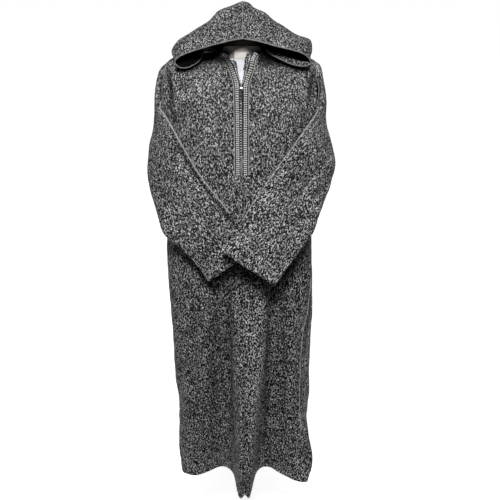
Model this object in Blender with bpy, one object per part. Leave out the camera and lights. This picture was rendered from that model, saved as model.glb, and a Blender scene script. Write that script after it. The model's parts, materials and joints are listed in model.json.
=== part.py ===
"""A hooded djellaba in thick marled wool, with a braided zip front, on a limbless dress form.

Metres, +Z up, the front faces -Y. Left and right are the viewer's. Every length is a real one.
"""

import math

import bmesh
import bpy
from mathutils import Matrix, Vector
from mathutils.bvhtree import BVHTree

# Cloth
WALL = 0.003
SEAM_GAP = 0.0006
FRONT_COLUMNS = 34
BACK_COLUMNS = 18
SHOULDER_ROWS = 7
CENTRE_CROWDING = 0.45
ROW_SAMPLES = 400

# Body rings: height, left and right half width, depth in front and behind, and the angle from
# the centre front at which the side seam runs on each side, in degrees
RING_POWER = 2.5
BODY = [
    {"z": 0.430, "left": 0.243, "right": 0.262, "front": 0.095, "back": 0.135,
     "seam_left": 66, "seam_right": 62},
    {"z": 0.500, "left": 0.245, "right": 0.252, "front": 0.100, "back": 0.135,
     "seam_left": 72, "seam_right": 68},
    {"z": 0.620, "left": 0.236, "right": 0.233, "front": 0.108, "back": 0.130,
     "seam_left": 84, "seam_right": 68},
    {"z": 0.770, "left": 0.244, "right": 0.238, "front": 0.112, "back": 0.128,
     "seam_left": 88, "seam_right": 58},
    {"z": 0.925, "left": 0.244, "right": 0.237, "front": 0.116, "back": 0.126,
     "seam_left": 90, "seam_right": 65},
    {"z": 1.080, "left": 0.248, "right": 0.242, "front": 0.120, "back": 0.125,
     "seam_left": 90, "seam_right": 80},
    {"z": 1.230, "left": 0.253, "right": 0.229, "front": 0.124, "back": 0.124,
     "seam_left": 90, "seam_right": 90},
    {"z": 1.400, "left": 0.238, "right": 0.222, "front": 0.128, "back": 0.120,
     "seam_left": 90, "seam_right": 90},
    {"z": 1.550, "left": 0.228, "right": 0.218, "front": 0.127, "back": 0.116,
     "seam_left": 90, "seam_right": 90},
    {"z": 1.700, "left": 0.236, "right": 0.223, "front": 0.118, "back": 0.110,
     "seam_left": 90, "seam_right": 90},
]
SLIT_TOP = 0.62
SLIT_GAPE = 0.030

# Rows of the panels, from the hem up to the ring under the shoulders
HEM_Z = 0.430
UNDERARM_Z = 1.660
YOKE_Z = 1.700
ROW_HEIGHTS = [
    HEM_Z, 0.46, 0.52, 0.60, 0.68, 0.77, 0.86, 0.96, 1.06, 1.16, 1.26, 1.36, 1.46, 1.54, 1.60,
    UNDERARM_Z, YOKE_Z,
]

# Folds: the place across the front at the fold's top and at the hem, its half width (at its top too
# where that differs), how far it stands out at the hem, the height where it starts, how square it
# is and how fast it grows
FLUTE_X = 0.004
FRONT_FOLDS = [
    {"x_top": 0.034, "x_hem": FLUTE_X, "half_top": 0.066, "half": 0.032, "out": 0.140,
     "top": 1.30, "square": 4, "growth": 1.5},
    {"x_top": FLUTE_X, "x_hem": FLUTE_X, "half": 0.008, "out": -0.030,
     "top": 0.80, "square": 2, "growth": 2.2},
    {"x_top": -0.060, "x_hem": -0.080, "half": 0.034, "out": -0.032, "top": 1.36, "square": 2, "growth": 0.9},
    {"x_top": 0.116, "x_hem": 0.088, "half": 0.034, "out": -0.034, "top": 1.36, "square": 2, "growth": 0.9},
    {"x_top": -0.160, "x_hem": -0.185, "half": 0.050, "out": 0.042, "top": 0.95, "square": 2, "growth": 1.3},
    {"x_top": 0.170, "x_hem": 0.225, "half": 0.075, "out": 0.085, "top": 0.72, "square": 2, "growth": 1.1},
]
BACK_FOLDS = [
    {"x_top": -0.150, "x_hem": -0.165, "half": 0.036, "out": 0.030, "top": 1.20, "square": 2, "growth": 1.2},
    {"x_top": -0.060, "x_hem": -0.060, "half": 0.034, "out": 0.045, "top": 1.45, "square": 2, "growth": 1.2},
    {"x_top": 0.045, "x_hem": 0.050, "half": 0.036, "out": 0.040, "top": 1.38, "square": 2, "growth": 1.2},
    {"x_top": 0.130, "x_hem": 0.150, "half": 0.038, "out": 0.034, "top": 1.25, "square": 2, "growth": 1.2},
]

# Shoulder line and neckline
ARMHOLE_HALF = 0.046
TIP_LEFT = Vector((-0.220, 0.0, 1.858))
TIP_RIGHT = Vector((0.212, 0.0, 1.855))
ARMHOLE_BOW = 0.008
RIDGE_DROP = 0.10
TIP_ROUNDING = 8
SHOULDER_NARROWING = 0.985
RISE_FROM_YOKE = Vector((0.0, 0.0, 0.15))
LEAN_OVER_SHOULDER = 0.15
LEAN_TO_NECK = Vector((0.0, 0.06, 0.12))
NECK_SIDE = Vector((0.075, 0.0, 1.884))
NECK_BACK = Vector((0.0, 0.086, 1.876))
NECKLINE = [
    Vector((0.0, -0.113, 1.795)),
    Vector((0.0155, -0.095, 1.843)),
    Vector((0.0295, -0.076, 1.866)),
    Vector((0.0465, -0.056, 1.881)),
    Vector((0.0640, -0.032, 1.889)),
    NECK_SIDE,
]

# Sleeves: stations from the armhole to the cuff. Each row holds the outer fold, the inner fold
# and half the thickness of the flat tube
SLEEVE_LEFT = [
    {"outer": (-0.240, 0.000, 1.845), "inner": (-0.244, -0.012, 1.690), "half": 0.056},
    {"outer": (-0.254, 0.000, 1.785), "inner": (-0.245, -0.050, 1.730), "half": 0.034},
    {"outer": (-0.259, -0.016, 1.700), "inner": (-0.230, -0.084, 1.712), "half": 0.011},
    {"outer": (-0.280, -0.045, 1.612), "inner": (-0.191, -0.132, 1.672), "half": 0.024},
    {"outer": (-0.288, -0.062, 1.529), "inner": (-0.152, -0.145, 1.604), "half": 0.028},
    {"outer": (-0.272, -0.085, 1.450), "inner": (-0.110, -0.153, 1.536), "half": 0.024},
    {"outer": (-0.226, -0.135, 1.359), "inner": (-0.058, -0.160, 1.470), "half": 0.020},
    {"outer": (-0.165, -0.152, 1.299), "inner": (-0.006, -0.162, 1.400), "half": 0.018},
    {"outer": (-0.104, -0.162, 1.226), "inner": (0.048, -0.166, 1.333), "half": 0.018},
]
SLEEVE_RIGHT = [
    {"outer": (0.231, 0.000, 1.845), "inner": (0.233, -0.012, 1.690), "half": 0.056},
    {"outer": (0.243, 0.000, 1.785), "inner": (0.232, -0.050, 1.730), "half": 0.034},
    {"outer": (0.250, -0.016, 1.700), "inner": (0.218, -0.084, 1.715), "half": 0.011},
    {"outer": (0.271, -0.042, 1.620), "inner": (0.180, -0.134, 1.676), "half": 0.024},
    {"outer": (0.285, -0.055, 1.556), "inner": (0.132, -0.154, 1.612), "half": 0.028},
    {"outer": (0.262, -0.085, 1.480), "inner": (0.080, -0.172, 1.544), "half": 0.024},
    {"outer": (0.216, -0.140, 1.385), "inner": (0.030, -0.190, 1.472), "half": 0.020},
    {"outer": (0.160, -0.180, 1.300), "inner": (-0.018, -0.203, 1.396), "half": 0.018},
    {"outer": (0.098, -0.205, 1.232), "inner": (-0.058, -0.208, 1.336), "half": 0.018},
]
SLEEVE_POWER = 2.3
ARMHOLE_GAP = 0.0008
SLEEVE_STATIONS = 17

# Hood: the mouth's edge from the neckline round the corner to the middle of the upper edge
HOOD_CENTRE_X = 0.004
MOUTH_LEFT = [
    (-0.072, -0.020, 1.889), (-0.101, -0.034, 1.896), (-0.110, -0.044, 1.880), (-0.120, -0.052, 1.860),
    (-0.146, -0.063, 1.845), (-0.173, -0.065, 1.841), (-0.191, -0.066, 1.852), (-0.191, -0.071, 1.868),
    (-0.144, -0.080, 1.886), (-0.104, -0.087, 1.896), (-0.052, -0.088, 1.910), (HOOD_CENTRE_X, -0.086, 1.920),
]
MOUTH_RIGHT = [
    (0.072, -0.020, 1.889), (0.070, -0.038, 1.892), (0.084, -0.050, 1.878), (0.112, -0.057, 1.865),
    (0.140, -0.060, 1.852), (0.172, -0.063, 1.846), (0.195, -0.065, 1.850), (0.199, -0.070, 1.867),
    (0.152, -0.080, 1.891), (0.100, -0.087, 1.898), (0.050, -0.088, 1.912), (HOOD_CENTRE_X, -0.086, 1.920),
]
# Sections of half a hood behind the mouth: where it lies along the neckline, from 0 in front to
# 1 at the back, then its lower layer, its outer fold, the slope and the ridge
HOOD_SECTIONS = [
    {"along": 0.20, "low": (0.135, -0.034, 1.882), "fold_low": (0.200, -0.040, 1.868),
     "fold_high": (0.201, -0.040, 1.894),
     "slope": (0.105, -0.040, 1.941), "ridge": (-0.020, 1.975)},
    {"along": 0.42, "low": (0.140, 0.005, 1.891), "fold_low": (0.204, 0.000, 1.880),
     "fold_high": (0.204, 0.005, 1.904),
     "slope": (0.102, 0.020, 1.968), "ridge": (0.040, 2.022)},
    {"along": 0.66, "low": (0.118, 0.068, 1.876), "fold_low": (0.172, 0.078, 1.866),
     "fold_high": (0.172, 0.086, 1.888),
     "slope": (0.088, 0.098, 1.944), "ridge": (0.118, 1.996)},
    {"along": 0.86, "low": (0.070, 0.116, 1.872), "fold_low": (0.100, 0.136, 1.872),
     "fold_high": (0.100, 0.146, 1.890),
     "slope": (0.050, 0.160, 1.930), "ridge": (0.176, 1.966)},
]
HOOD_TIP = Vector((HOOD_CENTRE_X, 0.222, 1.938))
HOOD_LIFT = 0.0008
HOOD_SEAM_SAG = 0.012
SEAM_POINTS = 6
NECK_INSET = 0.004
HOOD_AROUND = 15
HOOD_DEEP = 12

# Zip and trims, as distances from the edge that the zip closes
ZIP_FOOT_Z = 1.600
BRAID_FOOT_Z = 1.545
TRIM_TOP = 3
CHAIN_HALF = 0.0045
BRAID_INNER = 0.0056
BRAID_OUTER = 0.0172
EDGING_INNER = 0.0180
EDGING_OUTER = 0.0206
TRIM_LIFT = 0.0013
BRAID_HEIGHT = 0.0030
EDGING_HEIGHT = 0.0018
CHAIN_HEIGHT = 0.0022
TRIM_STEP = 0.008
SLIDER_Z = 1.786
SLIDER_SIZE = Vector((0.0090, 0.0042, 0.0120))
SLIDER_BEVEL = 0.0008
EAR_SIZE = Vector((0.0010, 0.0056, 0.0036))
EAR_PLACE = 0.0026
EAR_SINK = 0.0004
EAR_ABOVE_FOOT = 0.0010
PIVOT_SINK = 0.0016
BARREL_RADIUS = 0.0013
BARREL_LENGTH = 0.0036
PLATE_SIZE = Vector((BARREL_LENGTH, 0.0012, 0.0300))
PLATE_BEVEL = 0.0004
GRIP_SIZE = Vector((0.0052, 0.00168, 0.0180))
GRIP_DROP = 0.0216
GRIP_BEVEL = 0.0005

# Dress form: rings of height, half width and half depth, then the shoulders and the neck
FORM_SIDES = 32
FORM_POWER = 2.2
FORM = [
    {"z": 1.130, "wide": 0.120, "deep": 0.075},
    {"z": 1.145, "wide": 0.148, "deep": 0.094},
    {"z": 1.200, "wide": 0.168, "deep": 0.104},
    {"z": 1.320, "wide": 0.160, "deep": 0.100},
    {"z": 1.440, "wide": 0.160, "deep": 0.096},
    {"z": 1.560, "wide": 0.176, "deep": 0.100},
    {"z": 1.660, "wide": 0.188, "deep": 0.099},
    {"z": 1.730, "wide": 0.192, "deep": 0.087},
    {"z": 1.790, "wide": 0.195, "deep": 0.067},
    {"z": 1.830, "wide": 0.192, "deep": 0.046},
]
FORM_SHOULDERS = [0.178, 0.150, 0.120, 0.095, 0.078, 0.058]
FORM_SHOULDER_DEEP = 0.025
FORM_TOP_GAP = 0.0009
NECK_START_Z = 1.780
NECK_BLEND = 0.03
NECK_POWER = 8
NECK_TOP_SHARE = 0.9
NECK_RADIUS = 0.050
NECK_TOP_Z = 1.900
CAP_PROFILE = [
    (0.0, 0.0), (0.050, 0.0), (0.053, 0.004), (0.053, 0.015), (0.046, 0.023), (0.028, 0.027), (0.0, 0.028),
]
LABEL_HALF = 0.020
LABEL_LIFT = 0.0008
LABEL_THICK = 0.0006
LABEL_Z = (1.866, 1.898)
LABEL_SPANS = 8
POLE_RADIUS = 0.014
BASE_PROFILE = [
    (0.0, 0.0), (0.162, 0.0), (0.166, 0.004), (0.166, 0.011), (0.158, 0.016),
    (0.032, 0.020), (0.026, 0.026), (0.024, 0.056), (0.0, 0.056),
]
FACE_GAP = 0.0003
ROUND_SIDES = 32
BACKWARDS = Vector((0.0, 1.0, 0.0))


def catmull(points, share):
    """A point on a smooth curve through the points, at a share of its length in points."""
    last = len(points) - 1
    place = min(max(share, 0.0), 1.0) * last
    i = min(int(place), last - 1)
    t = place - i
    b, c = points[i], points[i + 1]
    a = points[i - 1] if i > 0 else b * 2 - c
    d = points[i + 2] if i + 2 <= last else c * 2 - b
    bend = (2 * a - 5 * b + 4 * c - d) * t * t + (3 * b - a - 3 * c + d) * t ** 3
    return (2 * b + (c - a) * t + bend) / 2


def smooth_row(table, z):
    """The table's values at a height, eased from row to row."""
    if z <= table[0]["z"]:
        return table[0]
    for low, high in zip(table, table[1:]):
        if z <= high["z"]:
            t = (z - low["z"]) / (high["z"] - low["z"])
            t = t * t * (3 - 2 * t) * 0.5 + t * 0.5
            return {key: low[key] + (high[key] - low[key]) * t for key in low}
    return table[-1]


def signed_power(value, power):
    return math.copysign(abs(value) ** power, value)


def ring_point(row, degrees):
    """A point of a body ring. The angle runs from the centre front to the viewer's right."""
    angle = math.radians(degrees)
    across, ahead = math.sin(angle), math.cos(angle)
    wide = row["right"] if across > 0 else row["left"]
    deep = row["front"] if ahead > 0 else row["back"]
    x = wide * signed_power(across, 2 / RING_POWER)
    y = -deep * signed_power(ahead, 2 / RING_POWER)
    return Vector((x, y, row["z"]))


def fold_reach(folds, x, z):
    """How far the folds stand out of a panel at a place."""
    reach = 0.0
    for fold in folds:
        down = (fold["top"] - z) / (fold["top"] - HEM_Z)
        if down <= 0:
            continue
        middle = fold["x_top"] + (fold["x_hem"] - fold["x_top"]) * down
        half_top = fold.get("half_top", fold["half"])
        half = half_top + (fold["half"] - half_top) * down
        fall = math.exp(-abs((x - middle) / half) ** fold["square"])
        reach += fold["out"] * down ** fold["growth"] * fall
    return reach


def armhole_angle(row, half, behind):
    """How far the armhole's edge lies from the side of a ring, in degrees."""
    deep = row["back"] if behind else row["front"]
    return math.degrees(math.asin((half / deep) ** (RING_POWER / 2)))


def along(points, count, crowding, trim):
    """Points spread along a line from an edge to the middle, closer together towards the middle."""
    lengths = [0.0]
    for a, b in zip(points, points[1:]):
        lengths.append(lengths[-1] + (b - a).length)
    spread = []
    k = 0
    for i in range(count + 1):
        share = i / count
        share += crowding * math.sin(math.pi * share) / math.pi
        wanted = trim + (lengths[-1] - trim) * share
        while k < len(points) - 2 and lengths[k + 1] < wanted:
            k += 1
        part = (wanted - lengths[k]) / (lengths[k + 1] - lengths[k])
        spread.append(points[k].lerp(points[k + 1], part))
    return spread


def panel_row(z, behind):
    """One level row of the front or back panel, from edge to edge."""
    row = dict(smooth_row(BODY, z), z=z)
    open_half = ARMHOLE_HALF if z > UNDERARM_Z else 0.0
    start, end = -row["seam_left"], row["seam_right"]
    if open_half:
        lean = armhole_angle(row, open_half, behind)
        start, end = (-90 - lean, 90 + lean) if behind else (-90 + lean, 90 - lean)
    if behind:
        start, end = end, start + 360
    folds, side = (BACK_FOLDS, 1) if behind else (FRONT_FOLDS, -1)
    points = []
    for i in range(ROW_SAMPLES + 1):
        p = ring_point(row, start + (end - start) * i / ROW_SAMPLES)
        p.y += side * fold_reach(folds, p.x, z)
        points.append(p)
    gape = SLIT_GAPE * max(0.0, SLIT_TOP - z) / (SLIT_TOP - HEM_Z) if behind else 0.0
    columns = BACK_COLUMNS if behind else FRONT_COLUMNS
    crowding = 0.0 if behind else CENTRE_CROWDING
    trim = SEAM_GAP / 2 + gape
    middle_x = FLUTE_X * (YOKE_Z - z) / (YOKE_Z - HEM_Z)
    middle = min(range(ROW_SAMPLES + 1), key=lambda i: abs(points[i].x - middle_x))
    points[middle].x = middle_x
    first = along(points[:middle + 1], columns // 2, crowding, trim)
    last = along(points[:middle - 1:-1], columns // 2, crowding, trim)
    return first + last[-2::-1]


def shoulder_point(x, tip):
    """A point of the shoulder line between the neck and the tip."""
    share = (abs(x) - NECK_SIDE.x) / (abs(tip.x) - NECK_SIDE.x)
    z = NECK_SIDE.z - RIDGE_DROP * (abs(x) - NECK_SIDE.x)
    fall = NECK_SIDE.z - RIDGE_DROP * (abs(tip.x) - NECK_SIDE.x) - tip.z
    return Vector((x, 0.0, z - fall * max(share, 0.0) ** TIP_ROUNDING))


def neckline_point(x, behind):
    """A point of the neckline at a place across."""
    if behind:
        angle = math.asin(min(1.0, abs(x) / NECK_SIDE.x))
        rise = (NECK_SIDE.z - NECK_BACK.z) * math.sin(angle)
        return Vector((x, NECK_BACK.y * math.cos(angle), NECK_BACK.z + rise))
    for low, high in zip(NECKLINE, NECKLINE[1:]):
        if abs(x) <= high.x:
            p = low.lerp(high, (abs(x) - low.x) / (high.x - low.x))
            return Vector((x, p.y, p.z))
    return Vector((x, NECK_SIDE.y, NECK_SIDE.z))


def top_edge(x, behind):
    """Where a column ends above: on the shoulder line or the neckline. With it, its direction."""
    side = 1 if behind else -1
    tip = TIP_LEFT if x < 0 else TIP_RIGHT
    over = Vector((0.0, -side * LEAN_OVER_SHOULDER, 0.0))
    if abs(x) >= NECK_SIDE.x:
        point = shoulder_point(x, tip)
        lean = over
    else:
        point = neckline_point(x, behind)
        share = abs(x) / NECK_SIDE.x
        rise = Vector((0.0, -side * LEAN_TO_NECK.y, LEAN_TO_NECK.z))
        lean = rise.lerp(over, share ** 3)
    point.y += side * SEAM_GAP / 2
    return point, lean


def panel(behind):
    """The rows of a whole panel, from the hem to the shoulder line and the neckline."""
    rows = [panel_row(z, behind) for z in ROW_HEIGHTS]
    yoke = rows[-1]
    below = rows[-2]
    for r in range(1, SHOULDER_ROWS + 1):
        h = r / SHOULDER_ROWS
        row = []
        for i, foot in enumerate(yoke):
            if i in (0, len(yoke) - 1):
                tip = TIP_LEFT if foot.x < 0 else TIP_RIGHT
                x = tip.x
            else:
                x = foot.x * SHOULDER_NARROWING
            top, lean = top_edge(x, behind)
            rise = RISE_FROM_YOKE
            if i in (0, len(yoke) - 1):
                rise = Vector((0.0, (foot.y - below[i].y) * 0.6, 0.10))
            p = (foot * (2 * h ** 3 - 3 * h ** 2 + 1) + rise * (h ** 3 - 2 * h ** 2 + h)
                 + top * (3 * h ** 2 - 2 * h ** 3) + lean * (h ** 3 - h ** 2))
            if i in (0, len(yoke) - 1):
                p.x += math.copysign(ARMHOLE_BOW, p.x) * math.sin(math.pi * min(1.0, 1.25 * h))
            row.append(p)
        rows.append(row)
    return rows


def material(name, colour, roughness, metallic=0.0):
    made = bpy.data.materials.new(name)
    made.use_nodes = True
    shader = made.node_tree.nodes["Principled BSDF"]
    shader.inputs["Base Color"].default_value = (*colour, 1.0)
    shader.inputs["Roughness"].default_value = roughness
    shader.inputs["Metallic"].default_value = metallic
    return made


def finish(bm, name, look, place=(0, 0, 0), smooth=True):
    """Turns a bmesh into a named object."""
    mesh = bpy.data.meshes.new(name)
    bm.to_mesh(mesh)
    bm.free()
    mesh.materials.append(look)
    if smooth:
        mesh.shade_smooth()
        mesh.set_sharp_from_angle(angle=math.radians(50))
    made = bpy.data.objects.new(name, mesh)
    made.location = place
    bpy.context.scene.collection.objects.link(made)
    return made


def grid_normals(rows, closed=False):
    """The outward direction at each point of a grid."""
    normals = []
    last_row, count = len(rows) - 1, len(rows[0])
    for r, row in enumerate(rows):
        line = []
        for i in range(count):
            if closed:
                across = row[(i + 1) % count] - row[i - 1]
            else:
                across = row[min(i + 1, count - 1)] - row[max(i - 1, 0)]
            up = rows[min(r + 1, last_row)][i] - rows[max(r - 1, 0)][i]
            line.append(across.cross(up).normalized())
        normals.append(line)
    return normals


def flattened(normal, axis):
    """A direction with nothing left along one axis."""
    flat = normal.copy()
    flat[axis] = 0.0
    return flat.normalized()


def panel_normals(front_rows, back_rows):
    """The directions of both panels, shared where they meet at the side seams and over the shoulders."""
    front, back = grid_normals(front_rows), grid_normals(back_rows)
    for line, other in zip(front, back):
        for mine, its in ((0, -1), (-1, 0)):
            shared = (line[mine] + other[its]).normalized()
            line[mine], other[its] = shared, shared
    for normals, rows in ((front, front_rows), (back, back_rows)):
        for i, p in enumerate(rows[-1]):
            if abs(p.x) >= NECK_SIDE.x - 0.001:
                normals[-1][i] = flattened(normals[-1][i], 1)
    return front, back


def wall(name, rows, normals, look, closed=False, inner=-WALL, outer=0.0):
    """A wall along a grid of points, from its inner to its outer distance from them."""
    bm = bmesh.new()
    count = len(rows[0])

    def layer(depth):
        return [[bm.verts.new(p + n * depth) for p, n in zip(row, line)] for row, line in zip(rows, normals)]

    out, back = layer(outer), layer(inner)
    spans = count if closed else count - 1
    for r in range(len(rows) - 1):
        for i in range(spans):
            j = (i + 1) % count
            bm.faces.new((out[r][i], out[r][j], out[r + 1][j], out[r + 1][i]))
            bm.faces.new((back[r][i], back[r + 1][i], back[r + 1][j], back[r][j]))
    for i in range(spans):
        j = (i + 1) % count
        bm.faces.new((out[0][j], out[0][i], back[0][i], back[0][j]))
        bm.faces.new((out[-1][i], out[-1][j], back[-1][j], back[-1][i]))
    if not closed:
        for r in range(len(rows) - 1):
            bm.faces.new((out[r][0], out[r + 1][0], back[r + 1][0], back[r][0]))
            bm.faces.new((out[r + 1][-1], out[r][-1], back[r][-1], back[r + 1][-1]))
    return finish(bm, name, look)


def sleeve(name, stations, front_rows, back_rows, edge, look):
    """A flat tube from the armhole to the cuff. Its first ring follows the panels' armhole edges."""
    first = ROW_HEIGHTS.index(UNDERARM_Z)
    front_edge = [row[edge] for row in front_rows[first:]]
    back_edge = [row[-1 - edge if edge >= 0 else 0] for row in back_rows[first:]]
    outward = Vector((-1.0 if edge == 0 else 1.0, 0.0, 0.0))
    half_count = len(front_edge) - 1
    hole = list(reversed(front_edge)) + back_edge[1:-1]
    hole = [p + outward * ARMHOLE_GAP for p in hole]
    outers = [Vector(s["outer"]) for s in stations]
    inners = [Vector(s["inner"]) for s in stations]
    halves = [Vector((s["half"], 0, 0)) for s in stations]
    rows = [hole]
    for k in range(SLEEVE_STATIONS):
        share = k / (SLEEVE_STATIONS - 1)
        outer, inner, half = catmull(outers, share), catmull(inners, share), catmull(halves, share).x
        middle, reach = (outer + inner) / 2, (outer - inner) / 2
        ahead = Vector((0.0, -1.0, 0.0))
        ahead = (ahead - reach * (ahead.dot(reach) / reach.length_squared)).normalized()
        ring = []
        for j in range(2 * half_count):
            angle = math.pi * j / half_count
            ring.append(middle + reach * signed_power(math.cos(angle), 2 / SLEEVE_POWER)
                        + ahead * half * signed_power(math.sin(angle), 2 / SLEEVE_POWER))
        rows.append(ring)
    if edge == 0:
        rows = [list(reversed(ring)) for ring in rows]
    normals = grid_normals(rows, closed=True)
    normals[0] = [flattened(n, 0) for n in normals[0]]
    return wall(name, rows, normals, look, closed=True)


def hood_foot(back_rows, side):
    """The neckline that half a hood is sewn to, from the side of the neck to the back."""
    points = [p for p in back_rows[-1] if p.x * side >= 0 and abs(p.x) < NECK_SIDE.x - NECK_INSET]
    points.sort(key=lambda p: -abs(p.x))
    side_point, _ = top_edge(side * NECK_SIDE.x, True)
    return [side_point] + points + [NECK_BACK.copy()]


def point_along(points, share):
    """The point at a share of a line's length."""
    lengths = [(b - a).length for a, b in zip(points, points[1:])]
    left = share * sum(lengths)
    for a, b, length in zip(points, points[1:], lengths):
        if left <= length or b is points[-1]:
            return a.lerp(b, min(left / max(length, 1e-9), 1.0))
        left -= length


def hood_half(name, mouth, side, back_rows, look):
    """Half a hood, in rows from the mouth to the back seam and columns from the neckline to the ridge."""
    centre = HOOD_CENTRE_X + side * SEAM_GAP / 2

    def placed(point):
        return Vector((side * point[0], point[1], point[2]))

    foot = hood_foot(back_rows, side)
    sections = [[Vector(p) for p in mouth]]
    for s in HOOD_SECTIONS:
        neck = point_along(foot, s["along"])
        ridge = Vector((centre, s["ridge"][0], s["ridge"][1]))
        side_points = [placed(s[key]) for key in ("low", "fold_low", "fold_high", "slope")]
        sections.append([neck] + side_points + [ridge])
    seam = []
    for k in range(SEAM_POINTS):
        share = k / (SEAM_POINTS - 1)
        p = NECK_BACK.lerp(HOOD_TIP, share)
        p.z -= HOOD_SEAM_SAG * math.sin(math.pi * share)
        seam.append(p)
    sections.append(seam)
    columns = []
    for i in range(HOOD_AROUND + 1):
        ribs = [catmull(section, i / HOOD_AROUND) for section in sections]
        columns.append([catmull(ribs, r / HOOD_DEEP) for r in range(HOOD_DEEP + 1)])
    rows = [[column[r] for column in columns] for r in range(HOOD_DEEP + 1)]
    for r, row in enumerate(rows):
        if r:
            row[0] = point_along(foot, min(1.0, r / HOOD_DEEP))
        row[0].z += HOOD_LIFT
        row[-1].x = centre
    for point in rows[-1]:
        point.x = centre
    if side > 0:
        rows = [list(reversed(row)) for row in rows]
    normals = grid_normals(rows)
    middle = 0 if side > 0 else -1
    for line in normals:
        line[middle] = flattened(line[middle], 0)
    normals[-1] = [flattened(n, 0) for n in normals[-1]]
    return wall(name, rows, normals, look)


def zip_line(foot_z, top_z=None):
    """The edge that the zip closes, seen from the front: up the middle, then along the neckline."""
    start_z = NECKLINE[0].z if top_z is None else top_z
    line = [Vector((0.0, foot_z + (start_z - foot_z) * k / 4)) for k in range(5)]
    if top_z is None:
        line += [Vector((p.x, p.z)) for p in NECKLINE[1:TRIM_TOP + 1]]
    return line


def trim_rows(surface, line, side, offsets):
    """Rows of points on the front, across a line and up it, at distances to one side of it."""
    length = sum((b - a).length for a, b in zip(line, line[1:]))
    steps = round(length / TRIM_STEP)
    rows = []
    for k in range(steps + 1):
        share = k / steps
        here = catmull(line, share)
        here.x = max(here.x, 0.0)
        ahead = catmull(line, min(share + 0.01, 1.0)) - catmull(line, max(share - 0.01, 0.0))
        aside = Vector((ahead.y, -ahead.x)).normalized()
        row = []
        for offset in sorted(o * side for o in offsets):
            flat = Vector((here.x * side + aside.x * offset, here.y + aside.y * offset * side))
            start = Vector((flat.x, -1.0, flat.y))
            hit = surface.ray_cast(start, BACKWARDS)[0]
            row.append(hit or surface.find_nearest(start + BACKWARDS * 0.9)[0])
        rows.append(row)
    return rows


def trim(name, surface, line, side, offsets, height, look):
    """A flat trim that lies on the front."""
    rows = trim_rows(surface, line, side, offsets)
    return wall(name, rows, grid_normals(rows), look, inner=TRIM_LIFT, outer=TRIM_LIFT + height)


def surface_of(made):
    """An object's surface, for laying things on it."""
    bm = bmesh.new()
    bm.from_mesh(made.data)
    tree = BVHTree.FromBMesh(bm)
    bm.free()
    return tree


def box(size, centre=(0, 0, 0), bevel=0.0):
    """A bmesh box, its edges rounded by a bevel."""
    bm = bmesh.new()
    bmesh.ops.create_cube(bm, size=1.0)
    bmesh.ops.scale(bm, vec=size, verts=bm.verts)
    if bevel:
        bmesh.ops.bevel(
            bm, geom=bm.edges[:], offset=bevel, offset_type="OFFSET", segments=2, profile=0.5, material=-1,
            affect="EDGES",
        )
    bmesh.ops.translate(bm, vec=centre, verts=bm.verts)
    return bm


def joined(made, helper):
    """Adds a helper's shape to an object with a union."""
    helper.hide_render = True
    helper.display_type = "WIRE"
    helper.parent = made.parent
    union = made.modifiers.new("union", "BOOLEAN")
    union.operation = "UNION"
    union.object = helper
    return made


def turned(name, profile, look, z):
    """A solid turned about the pole's axis from a profile of radius and height."""
    bm = bmesh.new()
    verts = [bm.verts.new((radius, 0.0, height)) for radius, height in profile]
    edges = [bm.edges.new(pair) for pair in zip(verts, verts[1:])]
    bmesh.ops.spin(
        bm, geom=verts + edges, cent=(0, 0, 0), axis=(0, 0, 1), angle=2 * math.pi, steps=ROUND_SIDES,
        use_merge=True,
    )
    bmesh.ops.remove_doubles(bm, verts=bm.verts, dist=0.00001)
    bmesh.ops.recalc_face_normals(bm, faces=bm.faces)
    return finish(bm, name, look, place=(0, 0, z))


def form_ring(z, wide, deep):
    """A level ring of the dress form, with the round neck rising through the shoulders."""
    ring = []
    rise = min(max((z - NECK_START_Z) / NECK_BLEND, 0.0), 1.0)
    for k in range(FORM_SIDES):
        angle = 2 * math.pi * k / FORM_SIDES
        across, ahead = math.cos(angle), math.sin(angle)
        reach = (abs(across / wide) ** FORM_POWER + abs(ahead / deep) ** FORM_POWER) ** (-1 / FORM_POWER)
        reach = (reach ** NECK_POWER + (NECK_RADIUS * rise) ** NECK_POWER) ** (1 / NECK_POWER)
        ring.append(Vector((across * reach, ahead * reach, z)))
    return ring


def dress_form(look):
    """The torso: smooth, with no limbs, and its shoulders just under the cloth's shoulder line."""
    rings = [form_ring(row["z"], row["wide"], row["deep"]) for row in FORM]
    for wide in FORM_SHOULDERS:
        ridge = min(shoulder_point(wide, TIP_LEFT).z, shoulder_point(wide, TIP_RIGHT).z)
        share = (wide - NECK_RADIUS) / (FORM_SHOULDERS[0] - NECK_RADIUS)
        rings.append(form_ring(ridge - WALL - FORM_TOP_GAP, wide, FORM_SHOULDER_DEEP * math.sqrt(share)))
    rings.append(form_ring(NECK_TOP_Z, NECK_RADIUS * NECK_TOP_SHARE, NECK_RADIUS * NECK_TOP_SHARE))
    bm = bmesh.new()
    loops = [[bm.verts.new(p) for p in ring] for ring in rings]
    for low, high in zip(loops, loops[1:]):
        for k in range(FORM_SIDES):
            j = (k + 1) % FORM_SIDES
            bm.faces.new((low[k], low[j], high[j], high[k]))
    bm.faces.new(list(reversed(loops[0])))
    bm.faces.new(loops[-1])
    return finish(bm, "form_torso", look)


def neck_label(torso, look):
    """A plain cloth label on the front of the neck."""
    surface = surface_of(torso)
    rows = []
    for z in (LABEL_Z[0], (LABEL_Z[0] + LABEL_Z[1]) / 2, LABEL_Z[1]):
        row = []
        for k in range(LABEL_SPANS + 1):
            start = Vector((LABEL_HALF * (2 * k / LABEL_SPANS - 1), -1.0, z))
            row.append(surface.ray_cast(start, BACKWARDS)[0])
        rows.append(row)
    outer = LABEL_LIFT + LABEL_THICK
    return wall("form_label", rows, grid_normals(rows), look, inner=LABEL_LIFT, outer=outer)


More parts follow.
